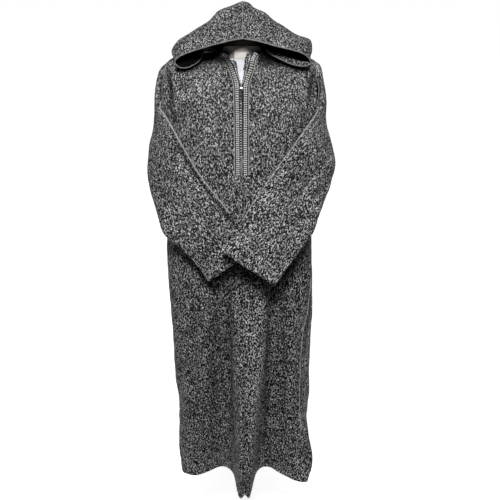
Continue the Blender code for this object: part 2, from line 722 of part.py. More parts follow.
def zip_slider(surface, look):
    """The slider at the foot of the neck opening, and the pull tab that hangs in its ears."""
    hit, normal, _, _ = surface.ray_cast(Vector((0.0, -1.0, SLIDER_Z)), BACKWARDS)
    lean = math.atan2(normal.z, -normal.y)
    stand = TRIM_LIFT + CHAIN_HEIGHT + FACE_GAP
    seat = bpy.data.objects.new("slider_seat", None)
    seat.location = hit + normal * stand
    seat.rotation_euler = (-lean, 0, 0)
    bpy.context.scene.collection.objects.link(seat)
    front_y = -SLIDER_SIZE.y
    slider = finish(box(SLIDER_SIZE, (0, front_y / 2, 0), SLIDER_BEVEL), "zip_slider", look)
    slider.parent = seat
    ear_y = front_y - EAR_SIZE.y / 2 + EAR_SINK
    ear_z = -SLIDER_SIZE.z / 2 + EAR_SIZE.z / 2 + EAR_ABOVE_FOOT
    for side, name in ((-1, "ear_left"), (1, "ear_right")):
        ear = finish(box(EAR_SIZE, (side * EAR_PLACE, ear_y, ear_z)), name, look)
        ear.parent = seat
        joined(slider, ear)
    bpy.context.view_layer.update()
    pivot = seat.matrix_world @ Vector((0, front_y - EAR_SIZE.y + PIVOT_SINK, ear_z))
    bm = bmesh.new()
    bmesh.ops.create_cone(
        bm, cap_ends=True, segments=12, radius1=BARREL_RADIUS, radius2=BARREL_RADIUS, depth=BARREL_LENGTH,
    )
    bmesh.ops.rotate(bm, cent=(0, 0, 0), matrix=Matrix.Rotation(math.pi / 2, 3, "Y"), verts=bm.verts)
    barrel = finish(bm, "tab_barrel", look, place=pivot)
    tab = finish(box(PLATE_SIZE, (0, 0, -PLATE_SIZE.z / 2), PLATE_BEVEL), "zip_tab", look, place=pivot)
    joined(tab, barrel)
    grip = finish(box(GRIP_SIZE, (0, 0, -GRIP_DROP), GRIP_BEVEL), "tab_grip", look, place=pivot)
    joined(tab, grip)


def stand_centred():
    """Moves everything so that the origin is under the middle of the whole object."""
    bpy.context.view_layer.update()
    shown = [o for o in bpy.context.scene.objects if o.type == "MESH" and not o.hide_render]
    corners = [o.matrix_world @ v.co for o in shown for v in o.data.vertices]
    middle = [(min(c[k] for c in corners) + max(c[k] for c in corners)) / 2 for k in range(2)]
    for o in bpy.context.scene.objects:
        if o.parent is None:
            o.location.x -= middle[0]
            o.location.y -= middle[1]


def main():
    for old in list(bpy.data.objects):
        bpy.data.objects.remove(old)
    wool = material("marled_wool", (0.10, 0.10, 0.10), 0.95)
    braid = material("grey_braid", (0.42, 0.42, 0.41), 0.8)
    metal = material("zip_metal", (0.05, 0.05, 0.055), 0.35, 1.0)
    jersey = material("white_jersey", (0.85, 0.84, 0.82), 0.9)
    wood = material("dark_wood", (0.07, 0.045, 0.025), 0.45)
    tape = material("label_tape", (0.72, 0.68, 0.62), 0.8)
    steel = material("stand_steel", (0.62, 0.62, 0.63), 0.3, 1.0)

    front_rows, back_rows = panel(False), panel(True)
    front_normals, back_normals = panel_normals(front_rows, back_rows)
    front = wall("front", front_rows, front_normals, wool)
    wall("back", back_rows, back_normals, wool)
    sleeve("sleeve_left", SLEEVE_LEFT, front_rows, back_rows, 0, wool)
    sleeve("sleeve_right", SLEEVE_RIGHT, front_rows, back_rows, -1, wool)
    hood_half("hood_left", MOUTH_LEFT, -1, back_rows, wool)
    hood_half("hood_right", MOUTH_RIGHT, 1, back_rows, wool)

    surface = surface_of(front)
    whole = zip_line(BRAID_FOOT_Z)
    braid_places = (BRAID_INNER, (BRAID_INNER + BRAID_OUTER) / 2, BRAID_OUTER)
    edging_places = (EDGING_INNER, EDGING_OUTER)
    for side, name in ((-1, "left"), (1, "right")):
        trim("braid_" + name, surface, whole, side, braid_places, BRAID_HEIGHT, braid)
        trim("edging_" + name, surface, whole, side, edging_places, EDGING_HEIGHT, braid)
    chain = zip_line(ZIP_FOOT_Z, SLIDER_Z)
    trim("zip_chain", surface, chain, 1, (-CHAIN_HALF, 0.0, CHAIN_HALF), CHAIN_HEIGHT, metal)
    zip_slider(surface, metal)

    torso = dress_form(jersey)
    neck_label(torso, tape)
    turned("form_cap", CAP_PROFILE, wood, NECK_TOP_Z + FACE_GAP)
    base_top = BASE_PROFILE[-1][1] + FACE_GAP
    pole_length = FORM[0]["z"] - FACE_GAP - base_top
    pole_profile = [(0.0, 0.0), (POLE_RADIUS, 0.0), (POLE_RADIUS, pole_length), (0.0, pole_length)]
    turned("stand_pole", pole_profile, steel, base_top)
    turned("stand_base", BASE_PROFILE, steel, 0.0)
    stand_centred()


main()
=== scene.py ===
"""The finished look of a hooded djellaba in marled wool, worn by a limbless dress form."""
import json
import math
import random

import bmesh
import bpy
import numpy as np
from mathutils import Matrix, Vector, noise
from mathutils.bvhtree import BVHTree


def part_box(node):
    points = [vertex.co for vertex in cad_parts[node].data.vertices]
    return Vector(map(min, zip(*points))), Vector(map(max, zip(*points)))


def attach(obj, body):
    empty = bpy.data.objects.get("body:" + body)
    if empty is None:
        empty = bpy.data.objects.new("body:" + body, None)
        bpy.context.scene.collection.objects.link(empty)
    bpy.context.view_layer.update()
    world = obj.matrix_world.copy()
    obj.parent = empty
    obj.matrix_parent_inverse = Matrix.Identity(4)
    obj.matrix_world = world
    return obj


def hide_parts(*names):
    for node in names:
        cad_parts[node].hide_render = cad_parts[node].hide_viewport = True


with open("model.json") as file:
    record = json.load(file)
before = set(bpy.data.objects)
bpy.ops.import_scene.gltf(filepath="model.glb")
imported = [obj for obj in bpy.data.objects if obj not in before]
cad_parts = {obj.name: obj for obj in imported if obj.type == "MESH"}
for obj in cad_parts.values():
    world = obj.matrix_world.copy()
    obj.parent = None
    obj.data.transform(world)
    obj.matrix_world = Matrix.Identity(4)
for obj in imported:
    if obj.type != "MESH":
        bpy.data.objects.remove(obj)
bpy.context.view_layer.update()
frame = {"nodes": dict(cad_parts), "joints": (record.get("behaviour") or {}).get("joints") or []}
NODES = frame["nodes"]
TAB_HINGE = frame["joints"][0]
BODY = "garment"
TAB_BODY = "zip_pull"


def pole_axis():
    """The middle of the round base, from which places across the garment are measured."""
    low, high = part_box("stand_base")
    return Vector(((low.x + high.x) / 2, (low.y + high.y) / 2, 0.0))


POLE = pole_axis()


def at(x, y, z):
    """A place given from the pole's foot."""
    return POLE + Vector((x, y, z))


# Camera
CAMERA_PLACE = at(0.0245, -1.75, 1.90)
CAMERA_PITCH = 20.0
SENSOR_MM = 36.0
FLOOR_HALF = 60.0
FLOOR_FRONT = 0.45
LENS_MM = SENSOR_MM * 560 / 500

# Cloth
CLOTH_THICK = 0.0024
WALL_STEP = 0.003
UNDERARM_Z = 1.66
SLIT_TOP_Z = 0.62

# Zip and braid, as distances from the edge that the zip closes
ZIP_FOOT_Z = 1.600
BRAID_FOOT_Z = 1.545
SLIDER_Z = 1.786
NECK_EDGES = {
    -1: [(0.0, 1.795), (0.0155, 1.843), (0.0285, 1.866), (0.0440, 1.881)],
    1: [(0.0, 1.795), (0.0150, 1.843), (0.0206, 1.867), (0.0300, 1.884)],
}
BRAID_COLUMNS = (0.0085, 0.0137)
BRAID_EDGES = (0.0054, 0.0186)
CORD_PLACE = 0.0206
BRAID_PITCH = 0.0060
CORD_PITCH = 0.0052
TOOTH_PITCH = 0.0077
FACING_SHARES = (0.0, 0.1, 0.3, 0.5, 0.7, 0.93, 1.0)
NECK_CORD_END = (0.0600, 1.889)
FACING_WIDTHS = {
    -1: (0.0, 0.0, 0.0, 0.0036, 0.0042, 0.0086, 0.0040),
    1: (0.0, 0.0, 0.0015, 0.0055, 0.0080, 0.0108, 0.0120),
}


# Stage


def add_camera():
    data = bpy.data.cameras.new("camera")
    data.sensor_width = SENSOR_MM
    data.lens = LENS_MM
    data.clip_end = 200
    camera = bpy.data.objects.new("camera", data)
    camera.location = CAMERA_PLACE
    camera.rotation_euler = (math.radians(90 - CAMERA_PITCH), 0, 0)
    bpy.context.scene.collection.objects.link(camera)
    bpy.context.scene.camera = camera


def add_area(name, place, aim, size, watts):
    data = bpy.data.lights.new(name, "AREA")
    data.shape = "DISK"
    data.size = size
    data.energy = watts
    light = bpy.data.objects.new(name, data)
    light.location = place
    light.rotation_euler = (Vector(aim) - Vector(place)).to_track_quat("-Z", "Y").to_euler()
    bpy.context.scene.collection.objects.link(light)


def add_sun(name, tilt, turn, softness, strength):
    data = bpy.data.lights.new(name, "SUN")
    data.energy = strength
    data.angle = math.radians(softness)
    light = bpy.data.objects.new(name, data)
    light.rotation_euler = (math.radians(tilt), 0, math.radians(turn))
    bpy.context.scene.collection.objects.link(light)


def add_world():
    """A white room: bright where the camera sees it, dimmer as a light."""
    world = bpy.data.worlds.new("studio")
    world.use_nodes = True
    tree = world.node_tree
    tree.nodes.clear()
    out = tree.nodes.new("ShaderNodeOutputWorld")
    seen = tree.nodes.new("ShaderNodeBackground")
    seen.inputs["Strength"].default_value = 1.0
    lit = tree.nodes.new("ShaderNodeBackground")
    lit.inputs["Strength"].default_value = 0.11
    for shader in (seen, lit):
        shader.inputs["Color"].default_value = (1, 1, 1, 1)
    mix = tree.nodes.new("ShaderNodeMixShader")
    path = tree.nodes.new("ShaderNodeLightPath")
    tree.links.new(path.outputs["Is Camera Ray"], mix.inputs["Fac"])
    tree.links.new(lit.outputs[0], mix.inputs[1])
    tree.links.new(seen.outputs[0], mix.inputs[2])
    tree.links.new(mix.outputs[0], out.inputs["Surface"])
    bpy.context.scene.world = world


def add_stage():
    """A pale floor that begins under the stand and runs far back, and soft light from above and in front."""
    bm = bmesh.new()
    bmesh.ops.create_grid(bm, x_segments=1, y_segments=1, size=FLOOR_HALF)
    bmesh.ops.translate(bm, vec=at(0, FLOOR_HALF - FLOOR_FRONT, 0), verts=bm.verts)
    new_piece(bm, "floor", pale_floor())
    add_world()
    bpy.context.scene.view_settings.view_transform = "Standard"
    add_sun("sky", 24, 0, 30, 0.55)
    add_area("key", at(-0.10, -2.15, 3.55), at(0, 0, 1.5), 0.75, 114)


# Materials


class Look:
    """A material's node tree, with short calls that add and join nodes."""

    def __init__(self, name):
        self.material = bpy.data.materials.new(name)
        self.material.use_nodes = True
        self.tree = self.material.node_tree
        self.shader = self.tree.nodes["Principled BSDF"]

    def add(self, kind, **values):
        node = self.tree.nodes.new(kind)
        for key, value in values.items():
            setattr(node, key, value)
        return node

    def join(self, source, target):
        self.tree.links.new(source, target)

    def set(self, **values):
        for key, value in values.items():
            self.shader.inputs[key.replace("_", " ")].default_value = value

    def place(self, turn=(0, 0, 0), scale=(1, 1, 1)):
        """Object coordinates, turned and scaled."""
        coordinates = self.add("ShaderNodeTexCoord")
        mapping = self.add("ShaderNodeMapping", vector_type="TEXTURE")
        mapping.inputs["Rotation"].default_value = [math.radians(a) for a in turn]
        mapping.inputs["Scale"].default_value = [1 / s for s in scale]
        self.join(coordinates.outputs["Object"], mapping.inputs["Vector"])
        return mapping.outputs["Vector"]

    def ramp(self, source, stops):
        """Colours or greys along a value."""
        ramp = self.add("ShaderNodeValToRGB")
        elements = ramp.color_ramp.elements
        while len(elements) < len(stops):
            elements.new(0.5)
        for element, (place, colour) in zip(elements, stops):
            element.position = place
            grey = colour if isinstance(colour, tuple) else (colour, colour, colour)
            element.color = (*grey, 1.0)
        self.join(source, ramp.inputs["Fac"])
        return ramp.outputs["Color"]

    def level(self, value):
        """A grey of one value."""
        node = self.add("ShaderNodeRGB")
        node.outputs["Color"].default_value = (value, value, value, 1.0)
        return node.outputs["Color"]

    def noise(self, vector, scale, detail=2.0, rough=0.5):
        node = self.add("ShaderNodeTexNoise")
        node.inputs["Scale"].default_value = scale
        node.inputs["Detail"].default_value = detail
        node.inputs["Roughness"].default_value = rough
        self.join(vector, node.inputs["Vector"])
        return node.outputs["Fac"]

    def mix(self, mode, factor, first, second):
        node = self.add("ShaderNodeMix", data_type="RGBA", blend_type=mode)
        for name, value in (("Factor_Float", factor), ("A_Color", first), ("B_Color", second)):
            socket = next(s for s in node.inputs if s.identifier == name)
            if isinstance(value, (int, float)):
                socket.default_value = value
            else:
                self.join(value, socket)
        return next(s for s in node.outputs if s.identifier == "Result_Color")

    def maths(self, operation, first, second=0.0):
        node = self.add("ShaderNodeMath", operation=operation)
        for socket, value in zip(node.inputs, (first, second)):
            if isinstance(value, (int, float)):
                socket.default_value = value
            else:
                self.join(value, socket)
        return node.outputs["Value"]

    def in_painted_shade_and_tone(self, colour):
        """A colour times the painted shade stored on the piece, and on the cords their own darker tone."""
        shade = self.add("ShaderNodeAttribute", attribute_name="painted_shade_and_tone")
        return self.mix("MULTIPLY", 1.0, colour, shade.outputs["Color"])

    def bump(self, height, distance, strength=1.0):
        node = self.add("ShaderNodeBump")
        node.inputs["Distance"].default_value = distance
        node.inputs["Strength"].default_value = strength
        self.join(height, node.inputs["Height"])
        self.join(node.outputs["Normal"], self.shader.inputs["Normal"])


def pale_floor():
    look = Look("pale_floor")
    look.set(Base_Color=(0.93, 0.93, 0.93, 1), Roughness=0.9)
    look.set(Emission_Color=(1, 1, 1, 1), Emission_Strength=0.85)
    return look.material


def marled_wool(name, turn=(0, 0, 0), light=1.0):
    """Black yarn with pale grey strands that curl through it, along the grain of a piece, scaled by a painted light
    level per piece and by the painted shade stored on the sheet.
    """
    look = Look(name)
    look.set(Roughness=0.95, Specular_IOR_Level=0.1)
    grain = look.place(turn, (1, 1, 0.55))
    strand = look.maths("ABSOLUTE", look.maths("SUBTRACT", look.noise(grain, 235, 1.0), 0.5))
    curls = look.ramp(strand, [(0.0, 0.62), (0.035, 0.36), (0.07, 0.05), (0.12, 0.008), (1.0, 0.004)])
    second = look.maths("ABSOLUTE", look.maths("SUBTRACT", look.noise(grain, 375, 1.0), 0.46))
    threads = look.ramp(second, [(0.0, 0.34), (0.03, 0.16), (0.06, 0.02), (1.0, 0.004)])
    both = look.mix("LIGHTEN", 1.0, curls, threads)
    slub = look.noise(grain, 275, 1)
    soft = look.ramp(slub, [(0.40, 0.10), (0.5, 0.62), (0.60, 1.8)])
    strong = look.ramp(slub, [(0.43, 0.03), (0.51, 0.55), (0.60, 2.6)])
    height = look.add("ShaderNodeSeparateXYZ")
    look.join(look.place(), height.inputs["Vector"])
    low = look.ramp(look.maths("MULTIPLY", height.outputs["Z"], 0.5), [(0.62, 1.0), (0.86, 0.0)])
    slubs = look.mix("MIX", low, soft, strong)
    patches = look.ramp(look.noise(grain, 24, 3), [(0.3, 0.46), (0.7, 0.67)])
    yarn = look.mix("MULTIPLY", 1.0, both, slubs)
    toned = look.mix("MULTIPLY", 1.0, yarn, patches)
    lit = look.in_painted_shade_and_tone(look.level(light))
    look.join(look.mix("MULTIPLY", 1.0, toned, lit), look.shader.inputs["Base Color"])
    height = look.maths("SUBTRACT", 0.5, look.maths("MINIMUM", strand, second))
    look.bump(look.maths("MULTIPLY", height, 3.0), 0.0008, 0.8)
    return look.material


def bound_wool():
    """The smoother wool of the hood's bound edge and of the seams, darkened by the painted shade stored on each piece.
    """
    look = Look("bound_wool")
    look.set(Roughness=0.9, Specular_IOR_Level=0.1)
    colour = look.ramp(look.noise(look.place(), 420, 2), [(0.35, 0.075), (0.65, 0.26)])
    look.join(look.in_painted_shade_and_tone(colour), look.shader.inputs["Base Color"])
    look.bump(look.noise(look.place(), 900, 2), 0.0003)
    return look.material


def seam_yarn():
    """The lighter yarn of the raised seams."""
    look = Look("seam_yarn")
    look.set(Roughness=0.85)
    colour = look.ramp(look.noise(look.place(), 380, 2), [(0.35, 0.12), (0.65, 0.42)])
    look.join(colour, look.shader.inputs["Base Color"])
    look.bump(look.noise(look.place(), 900, 2), 0.0003)
    return look.material


def painted_hood_shade():
    """The near-black inner side of the hood: painted shade of its inside."""
    look = Look("painted_hood_shade")
    look.set(Roughness=0.95, Specular_IOR_Level=0.0)
    colour = look.ramp(look.noise(look.place(), 300, 2), [(0.3, 0.0015), (0.7, 0.004)])
    look.join(colour, look.shader.inputs["Base Color"])
    return look.material


def braid_yarn():
    """Smooth grey yarn of the braids and their cords, times the painted shade and tone stored on each piece."""
    look = Look("grey_braid_yarn")
    look.set(Roughness=0.85, Specular_IOR_Level=0.1)
    vector = look.place()
    strands = look.noise(look.place(scale=(1, 1, 0.4)), 1500, 2)
    tone = look.noise(vector, 240, 2)
    colour = look.ramp(tone, [(0.3, (0.42, 0.42, 0.415)), (0.7, (0.63, 0.63, 0.62))])
    fine = look.ramp(strands, [(0.3, 0.7), (0.7, 1.15)])
    look.join(look.in_painted_shade_and_tone(look.mix("MULTIPLY", 1.0, colour, fine)), look.shader.inputs["Base Color"])
    look.bump(strands, 0.0003)
    return look.material


def braid_ground():
    """The dark ground between a braid's loops, darkened further by the painted shade stored on it."""
    look = Look("braid_ground")
    look.set(Roughness=0.9, Specular_IOR_Level=0.1)
    colour = look.ramp(look.noise(look.place(), 900, 2), [(0.3, 0.018), (0.7, 0.045)])
    look.join(look.in_painted_shade_and_tone(colour), look.shader.inputs["Base Color"])
    return look.material


def dark_metal():
    look = Look("zip_metal")
    look.set(Base_Color=(0.15, 0.15, 0.155, 1), Metallic=1.0)
    wear = look.noise(look.place(), 700, 2)
    look.join(look.ramp(wear, [(0.3, 0.20), (0.7, 0.38)]), look.shader.inputs["Roughness"])
    look.bump(wear, 0.00005)
    return look.material


def highlight_tooth_metal():
    """Brighter metal for the left row of closed teeth, a painted highlight; the right row takes the darker zip metal.
    """
    look = Look("highlight_tooth_metal")
    look.set(Base_Color=(0.45, 0.45, 0.46, 1), Metallic=0.6)
    wear = look.noise(look.place(), 600, 2)
    look.join(look.ramp(wear, [(0.3, 0.28), (0.7, 0.46)]), look.shader.inputs["Roughness"])
    look.bump(wear, 0.00005)
    return look.material


def black_tape():
    """The zip's woven tape, darkened by the painted shade stored on each piece."""
    look = Look("zip_tape")
    look.set(Roughness=0.9, Specular_IOR_Level=0.1)
    vector = look.place(scale=(1, 1, 2.4))
    colour = look.ramp(look.noise(vector, 900, 2), [(0.3, 0.010), (0.7, 0.035)])
    look.join(look.in_painted_shade_and_tone(colour), look.shader.inputs["Base Color"])
    look.bump(look.noise(vector, 1500, 1), 0.0004)
    return look.material


def jersey_and_linen():
    """White jersey over the form's body, and brown linen round its neck, its lower band in painted shade."""
    look = Look("white_jersey")
    look.set(Roughness=0.85, Sheen_Weight=0.1)
    knit = look.noise(look.place(scale=(1, 1, 0.55)), 1100, 2)
    jersey = look.ramp(knit, [(0.3, (0.54, 0.54, 0.58)), (0.7, (0.64, 0.64, 0.69))])
    linen = look.ramp(knit, [(0.3, (0.38, 0.345, 0.335)), (0.7, (0.56, 0.52, 0.505))])
    height = look.add("ShaderNodeSeparateXYZ")
    look.join(look.place(), height.inputs["Vector"])
    # Painted shade: the linen below 1.886 m is darker, for the hood's shadow on the neck.
    shaded = look.ramp(knit, [(0.3, (0.17, 0.155, 0.15)), (0.7, (0.26, 0.24, 0.235))])
    neck = look.mix("MIX", look.maths("GREATER_THAN", height.outputs["Z"], 1.886), shaded, linen)
    above = look.maths("GREATER_THAN", height.outputs["Z"], 1.866)
    look.join(look.mix("MIX", above, jersey, neck), look.shader.inputs["Base Color"])
    look.bump(knit, 0.0004)
    return look.material


def dark_wood():
    look = Look("dark_wood")
    look.set(Coat_Weight=0.3, Coat_Roughness=0.3)
    grain = look.noise(look.place(scale=(1, 7, 7)), 26, 6, 0.65)
    colour = look.ramp(grain, [(0.3, (0.030, 0.018, 0.010)), (0.7, (0.090, 0.052, 0.030))])
    look.join(colour, look.shader.inputs["Base Color"])
    look.join(look.ramp(grain, [(0.2, 0.40), (0.8, 0.60)]), look.shader.inputs["Roughness"])
    look.bump(grain, 0.0003)
    return look.material


def label_tape():
    look = Look("label_tape")
    look.set(Roughness=0.8)
    weave = look.noise(look.place(scale=(1, 1, 3)), 1600, 1)
    # The label is taupe above 1.885 m and beige below.
    beige = look.ramp(weave, [(0.3, (0.50, 0.47, 0.43)), (0.7, (0.64, 0.61, 0.57))])
    taupe = look.ramp(weave, [(0.3, (0.25, 0.215, 0.20)), (0.7, (0.36, 0.315, 0.30))])
    height = look.add("ShaderNodeSeparateXYZ")
    look.join(look.place(), height.inputs["Vector"])
    above = look.maths("GREATER_THAN", height.outputs["Z"], 1.885)
    look.join(look.mix("MIX", above, beige, taupe), look.shader.inputs["Base Color"])
    look.bump(weave, 0.0003)
    return look.material


def stitch_thread():
    look = Look("stitch_thread")
    look.set(Roughness=0.7)
    colour = look.ramp(look.noise(look.place(), 2600, 1), [(0.3, 0.30), (0.7, 0.45)])
    look.join(colour, look.shader.inputs["Base Color"])
    return look.material


def brushed_steel(name, scale):
    look = Look(name)
    look.set(Base_Color=(0.62, 0.62, 0.63, 1), Metallic=1.0)
    brush = look.noise(look.place(scale=scale), 500, 3)
    look.join(look.ramp(brush, [(0.3, 0.26), (0.7, 0.42)]), look.shader.inputs["Roughness"])
    look.bump(brush, 0.0001)
    return look.material


# Meshes


def new_piece(bm, name, look, smooth=True, angle=50):
    """Turns a bmesh into a named object with a material."""
    mesh = bpy.data.meshes.new(name)
    bm.to_mesh(mesh)
    bm.free()
    if look:
        mesh.materials.append(look)
    if smooth:
        mesh.shade_smooth()
        mesh.set_sharp_from_angle(angle=math.radians(angle))
    piece = bpy.data.objects.new(name, mesh)
    bpy.context.scene.collection.objects.link(piece)
    return piece


def dress(piece, slot, *nodes, body=BODY):
    """Joins a finished piece to a body, and hides the plain solids that it stands for."""
    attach(piece, body)
    if nodes:
        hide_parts(*nodes)
    return piece


def across_wall(face):
    """Whether a face lies on the wall's edge, where one side is just the wall's thickness."""
    return any(abs(edge.calc_length() - WALL_STEP) < 0.000004 for edge in face.edges)


def joined_faces(start, left):
    """Takes the faces that connect to one face out of a set."""
    group, front = [], [start]
    left.discard(start)
    while front:
        face = front.pop()
        group.append(face)
        for edge in face.edges:
            for other in edge.link_faces:
                if other in left:
                    left.remove(other)
                    front.append(other)
    return group


def outer_layer(node):
    """The outer surface of a cloth wall in quads, without its inner surface and its edges."""
    bm = bmesh.new()
    bm.from_mesh(NODES[node].data)
    bmesh.ops.remove_doubles(bm, verts=bm.verts, dist=0.00002)
    bmesh.ops.delete(bm, geom=[f for f in bm.faces if across_wall(f)], context="FACES")
    left = set(bm.faces)
    layers = []
    while left:
        layers.append(joined_faces(next(iter(left)), left))
    layers.sort(key=lambda layer: sum(face.calc_area() for face in layer))
    inner = [face for layer in layers[:-1] for face in layer]
    bmesh.ops.delete(bm, geom=inner, context="FACES")
    wide = math.radians(60)
    bmesh.ops.join_triangles(bm, faces=bm.faces, angle_face_threshold=wide, angle_shape_threshold=wide)
    return bm


def halve_tall_faces(bm):
    """Splits the tall faces of a panel, so that its mesh is as fine up the cloth as across it."""
    tall = []
    for edge in bm.edges:
        way = edge.verts[1].co - edge.verts[0].co
        middle = (edge.verts[0].co + edge.verts[1].co) / 2
        if middle.z < UNDERARM_Z and abs(way.z) > 0.6 * way.length:
            tall.append(edge)
    bmesh.ops.subdivide_edges(bm, edges=tall, cuts=1, use_grid_fill=True)


def halve_all_faces(bm):
    bmesh.ops.subdivide_edges(bm, edges=bm.edges[:], cuts=1, use_grid_fill=True)


def subdivided(bm, levels):
    """A finer, smooth mesh of a sheet."""
    piece = new_piece(bm, "coarse", None, smooth=False)
    finer = piece.modifiers.new("finer", "SUBSURF")
    finer.levels = finer.render_levels = levels
    finer.boundary_smooth = "PRESERVE_CORNERS"
    graph = bpy.context.evaluated_depsgraph_get()
    mesh = bpy.data.meshes.new_from_object(piece.evaluated_get(graph))
    bpy.data.objects.remove(piece)
    out = bmesh.new()
    out.from_mesh(mesh)
    bpy.data.meshes.remove(mesh)
    return out


def line_nearness(flat, line):
    """How far flat points lie from a line of points, and at what share of its length they are nearest."""
    steps = np.linalg.norm(np.diff(line, axis=0), axis=1)
    total = steps.sum()
    best = np.full(len(flat), 1e9)
    share = np.zeros(len(flat))
    done = 0.0
    for start, end, step in zip(line, line[1:], steps):
        way = end - start
        part = np.clip((flat - start) @ way / step ** 2, 0, 1)
        away = np.linalg.norm(flat - start - part[:, None] * way, axis=1)
        nearer = away < best
        best[nearer] = away[nearer]
        share[nearer] = (done + part[nearer] * step) / total
        done += step
    return best, share


def crease_reach(points, normals, creases):
    """How far creases move points outwards, and the painted shade they leave on them, painted light where 'dark' is
    negative. Troughs are negative.
    """
    reach = np.zeros(len(points))
    shade = np.ones(len(points))
    flat = points[:, [0, 2]] - np.array([POLE.x, 0.0])
    for crease in creases:
        away, share = line_nearness(flat, np.array(crease["line"], float))
        fade = np.clip(np.sin(math.pi * np.clip(share, 0.001, 0.999)), 0, 1) ** crease.get("fade", 0.7)
        seen = np.clip(normals[:, 1] * crease["side"] * 2.5, 0, 1)
        weight = fade * seen * np.exp(-((away / crease["half"]) ** 2))
        reach += crease["deep"] * weight
        shade *= 1 - crease.get("dark", 0.0) * weight
    return reach, shade


def relief(points, size, depth):
    """A small uneven relief."""
    return np.array([noise.noise(Vector(p) / size) for p in points]) * depth


def shaped(bm, creases):
    """Moves a sheet's points out or in by its creases and a little unevenness, and returns the painted shade of its
    creases.
    """
    bm.normal_update()
    points = np.array([v.co for v in bm.verts])
    normals = np.array([v.normal for v in bm.verts])
    reach, shade = crease_reach(points, normals, creases)
    reach += relief(points, 0.055, 0.0026)
    reach += relief(points, 0.011, 0.0007)
    for vert, distance in zip(bm.verts, reach):
        vert.co += vert.normal * distance
    return shade


def keep_shade(piece, shade):
    """Stores the painted shade on a sheet's points, from its creases, recesses and cast shadows, above one where light
    is painted.
    """
    mesh = piece.data
    layer = mesh.attributes.new("painted_shade_and_tone", "FLOAT_COLOR", "POINT")
    values = np.ones((len(mesh.vertices), 4))
    values[:, :3] = np.array(shade)[:, None]
    layer.data.foreach_set("color", values.ravel())


def cloth(node, look, levels, creases, finer=None):
    """A thin shell of wool on a solid's form."""
    bm = outer_layer(node)
    if finer:
        finer(bm)
    bm = subdivided(bm, levels)
    pulled(bm, PULLS[node])
    shade = shaped(bm, creases)
    piece = new_piece(bm, node + "_cloth", look, angle=80)
    keep_shade(piece, shade)
    thick = piece.modifiers.new("thickness", "SOLIDIFY")
    thick.thickness = CLOTH_THICK
    thick.offset = -1
    return dress(piece, "marled_wool", node)


def surface_of(piece):
    """A sheet's outer surface, for laying things on it."""
    bm = bmesh.new()
    bm.from_mesh(piece.data)
    tree = BVHTree.FromBMesh(bm)
    bm.free()
    return tree


def edge_line(piece, start, end, via):
    """The points along a sheet's edge from one place to another, on the side that passes a third."""
    bm = bmesh.new()
    bm.from_mesh(piece.data)
    rim = [v for v in bm.verts if v.is_boundary]
    first = min(rim, key=lambda v: (v.co - start).length)
    last = min(rim, key=lambda v: (v.co - end).length)
    routes = []
    for edge in [e for e in first.link_edges if e.is_boundary]:
        route, here, used = [first], edge.other_vert(first), edge
        while here is not last and here is not first:
            route.append(here)
            used = next(e for e in here.link_edges if e.is_boundary and e is not used)
            here = used.other_vert(here)
        route.append(here)
        routes.append([v.co.copy() for v in route])
    bm.free()
    return min(routes, key=lambda route: min((p - via).length for p in route))


def spread(points, step):
    """Evenly spaced points along a line of points."""
    lengths = [0.0]
    for a, b in zip(points, points[1:]):
        lengths.append(lengths[-1] + (b - a).length)
    count = max(2, round(lengths[-1] / step))
    out = []
    k = 0
    for i in range(count + 1):
        wanted = lengths[-1] * i / count
        while k < len(points) - 2 and lengths[k + 1] < wanted:
            k += 1
        span = max(lengths[k + 1] - lengths[k], 1e-9)
        out.append(points[k].lerp(points[k + 1], (wanted - lengths[k]) / span))
    return out


def catmull(points, share):
    """A point on a smooth curve through the points, at a share of its length in points."""
    last = len(points) - 1
    place = min(max(share, 0.0), 1.0) * last
    i = min(int(place), last - 1)
    t = place - i
    b, c = points[i], points[i + 1]
    a = points[i - 1] if i > 0 else b * 2 - c
    d = points[i + 2] if i + 2 <= last else c * 2 - b
    bend = (2 * a - 5 * b + 4 * c - d) * t * t + (3 * b - a - 3 * c + d) * t ** 3
    return (2 * b + (c - a) * t + bend) / 2


def smooth_line(points, count):
    return [catmull(points, i / count) for i in range(count + 1)]


def seats(points, closed=False):
    """A matrix at each point of a line, its Z axis along the line, turned as little as possible."""
    out = []
    last = len(points) - 1
    side = None
    for i, point in enumerate(points):
        after = points[(i + 1) % len(points)] if closed else points[min(i + 1, last)]
        before = points[i - 1] if closed else points[max(i - 1, 0)]
        ahead = (after - before).normalized()
        if side is None:
            side = ahead.orthogonal()
        side = (side - ahead * side.dot(ahead)).normalized()
        turn = Matrix((side, ahead.cross(side), ahead)).transposed().to_4x4()
        out.append(Matrix.Translation(point) @ turn)
    return out


def add_tube(bm, points, radius, sides=6, flat=1.0):
    """Extrudes a round or flattened section along a line."""
    places = seats(points)
    shape = Matrix.Diagonal((1.0, flat, 1.0, 1.0))
    made = bmesh.ops.create_circle(bm, segments=sides, radius=radius, matrix=places[0] @ shape)
    edges = list({edge for vert in made["verts"] for edge in vert.link_edges})
    for here, place in zip(places, places[1:]):
        made = bmesh.ops.extrude_edge_only(bm, edges=edges)["geom"]
        verts = [v for v in made if isinstance(v, bmesh.types.BMVert)]
        edges = [e for e in made if isinstance(e, bmesh.types.BMEdge)]
        bmesh.ops.transform(bm, matrix=place @ here.inverted(), verts=verts)


def stamp(bm, shape, matrix):
    """Adds a copy of a small shape at a place."""
    count = len(bm.verts)
    bm.from_mesh(shape)
    bm.verts.ensure_lookup_table()
    bmesh.ops.transform(bm, matrix=matrix, verts=bm.verts[count:])


def as_shape(bm, name):
    mesh = bpy.data.meshes.new(name)
    bm.to_mesh(mesh)
    bm.free()
    return mesh


